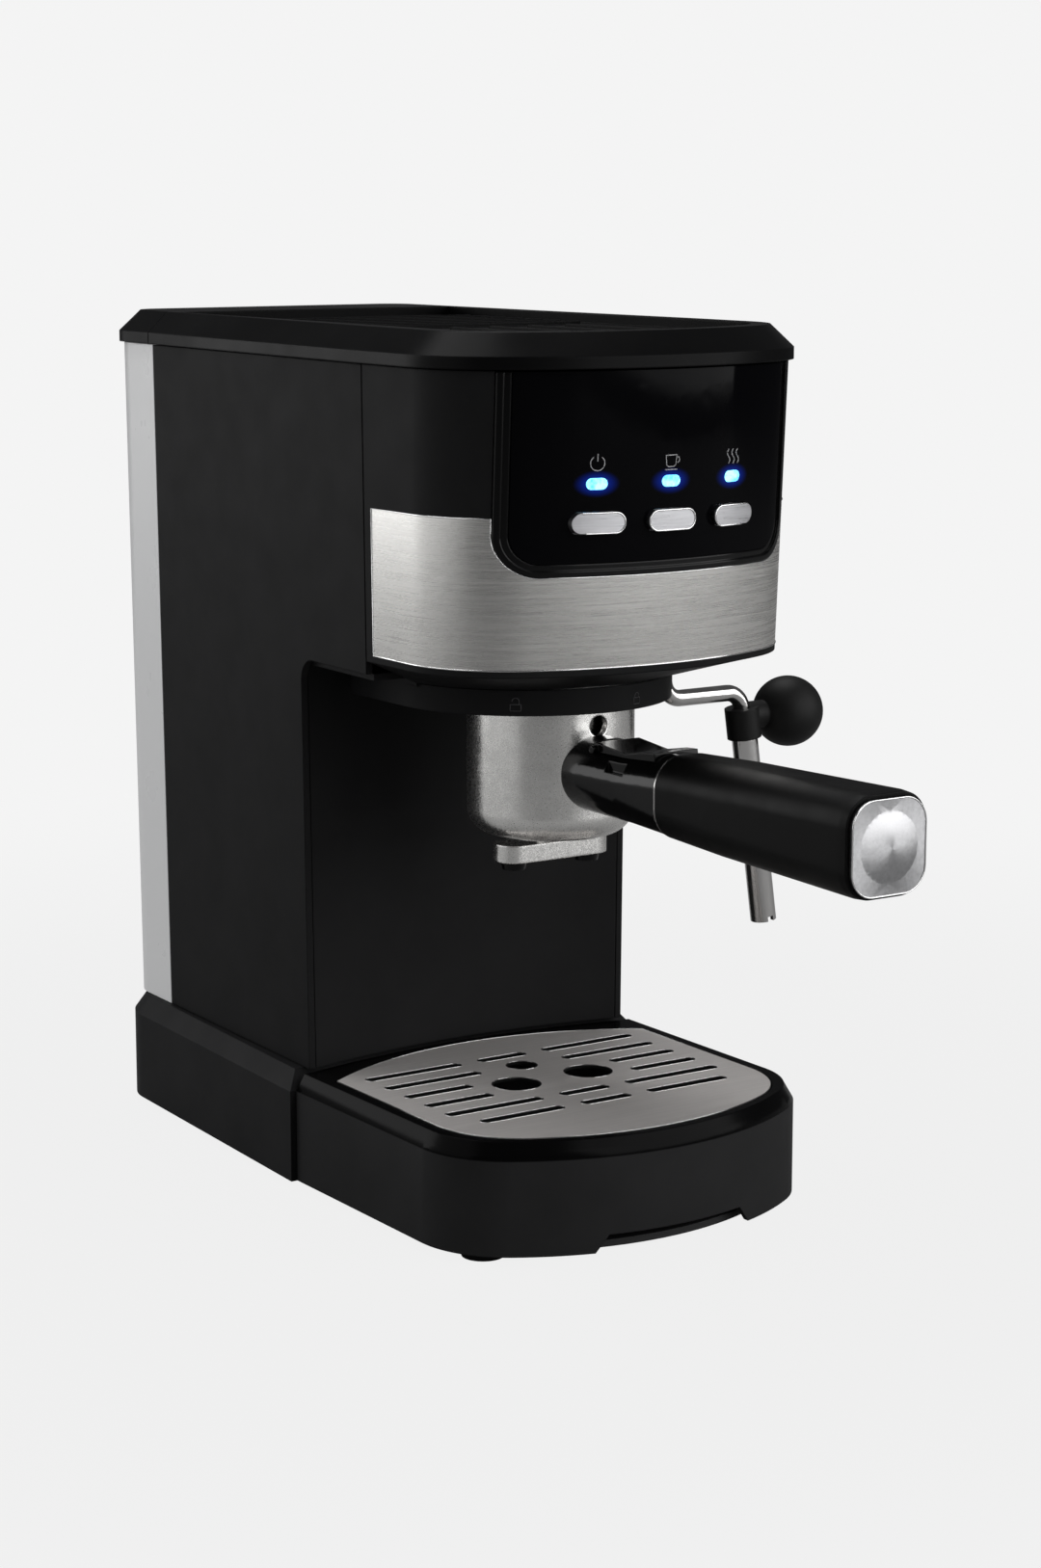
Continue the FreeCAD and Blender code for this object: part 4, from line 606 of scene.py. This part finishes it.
def panel_icons():
    """Generic symbols over the lenses: power, cup and steam."""
    tree = surface_tree("control_fascia")
    level = lens_level + PANEL_ICON_RISE
    power = [(arc_points(0, 0, 1, 125, 415), False), ([(0, 0.25), (0, 1.25)], False)]
    cup = [([(-1, 0.7), (0.8, 0.7), (0.65, -0.6), (0.35, -0.85), (-0.55, -0.85), (-0.85, -0.6)], True),
           (arc_points(0.85, 0.05, 0.42, 80, -80), False), ([(-1.1, -1.25), (0.9, -1.25)], False)]
    waves = []
    for shift in (-0.9, 0.0, 0.9):
        wave = [(shift + 0.28 * math.sin(index * 0.7), -1.0 + index * 0.22) for index in range(10)]
        waves.append((wave, False))
    for name, x, strokes in zip(("icon_power", "icon_cup", "icon_steam"), button_middles,
                                (power, cup, waves)):
        icon(name, tree, strokes, (x, level), PANEL_ICON_SIZE, PANEL_LINE, print_grey)


def lock_icons():
    """Open and closed padlock on the collar, for the two ends of the bayonet's turn."""
    tree = surface_tree("group_collar")
    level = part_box("group_collar")[0].z + LOCK_RISE
    block = ([(-0.8, -1), (0.8, -1), (0.8, 0.2), (-0.8, 0.2)], True)
    opened = [(0.5, 0.2), (0.5, 0.9)] + arc_points(0, 0.9, 0.5, 0, 180) + [(-0.5, 0.75)]
    closed = [(-0.5, 0.2), (-0.5, 0.6)] + arc_points(0, 0.6, 0.5, 180, 0) + [(0.5, 0.2)]
    for name, shackle, x in (("icon_unlock", opened, UNLOCK_X), ("icon_lock", closed, LOCK_X)):
        icon(name, tree, (block, (shackle, False)), (x, level), LOCK_SIZE, COLLAR_LINE, print_dark)


def make_floor():
    """Pale floor: even for the camera, with a soft contact shadow, and dim in reflections."""
    reach = 8.0
    corners = [(-reach, -reach, 0), (reach, -reach, 0), (reach, reach, 0), (-reach, reach, 0)]
    mesh = bpy.data.meshes.new("floor")
    mesh.from_pydata(corners, [], [(0, 1, 2, 3)])
    floor = bpy.data.objects.new("floor", mesh)
    scene.collection.objects.link(floor)
    shader = Shader("floor_paper", (0.30, 0.30, 0.30), 0.8, Specular_IOR_Level=0.05)
    paper = shader.surface.outputs[0]
    glow = shader.node("ShaderNodeEmission", Color=BACKDROP).outputs[0]
    even = shader.fade(shader.distance(shader.place()), 0.25, 0.75, 0.94, 1.0)
    seen = shader.ordered("ShaderNodeMixShader", even, paper, glow).outputs[0]
    camera_ray = shader.tree.nodes.new("ShaderNodeLightPath").outputs["Is Camera Ray"]
    chosen = shader.ordered("ShaderNodeMixShader", camera_ray, paper, seen).outputs[0]
    shader.tree.links.new(chosen, shader.tree.nodes["Material Output"].inputs["Surface"])
    mesh.materials.append(shader.material)


make_camera()
make_world()
for light in LIGHTS:
    area_light(*light)
scene.view_settings.view_transform = "Standard"
scene.view_settings.look = "None"
dress_nodes()
band_edges()
button_rims()
cap_edge()
grate_edges()
panel_icons()
lock_icons()
make_floor()
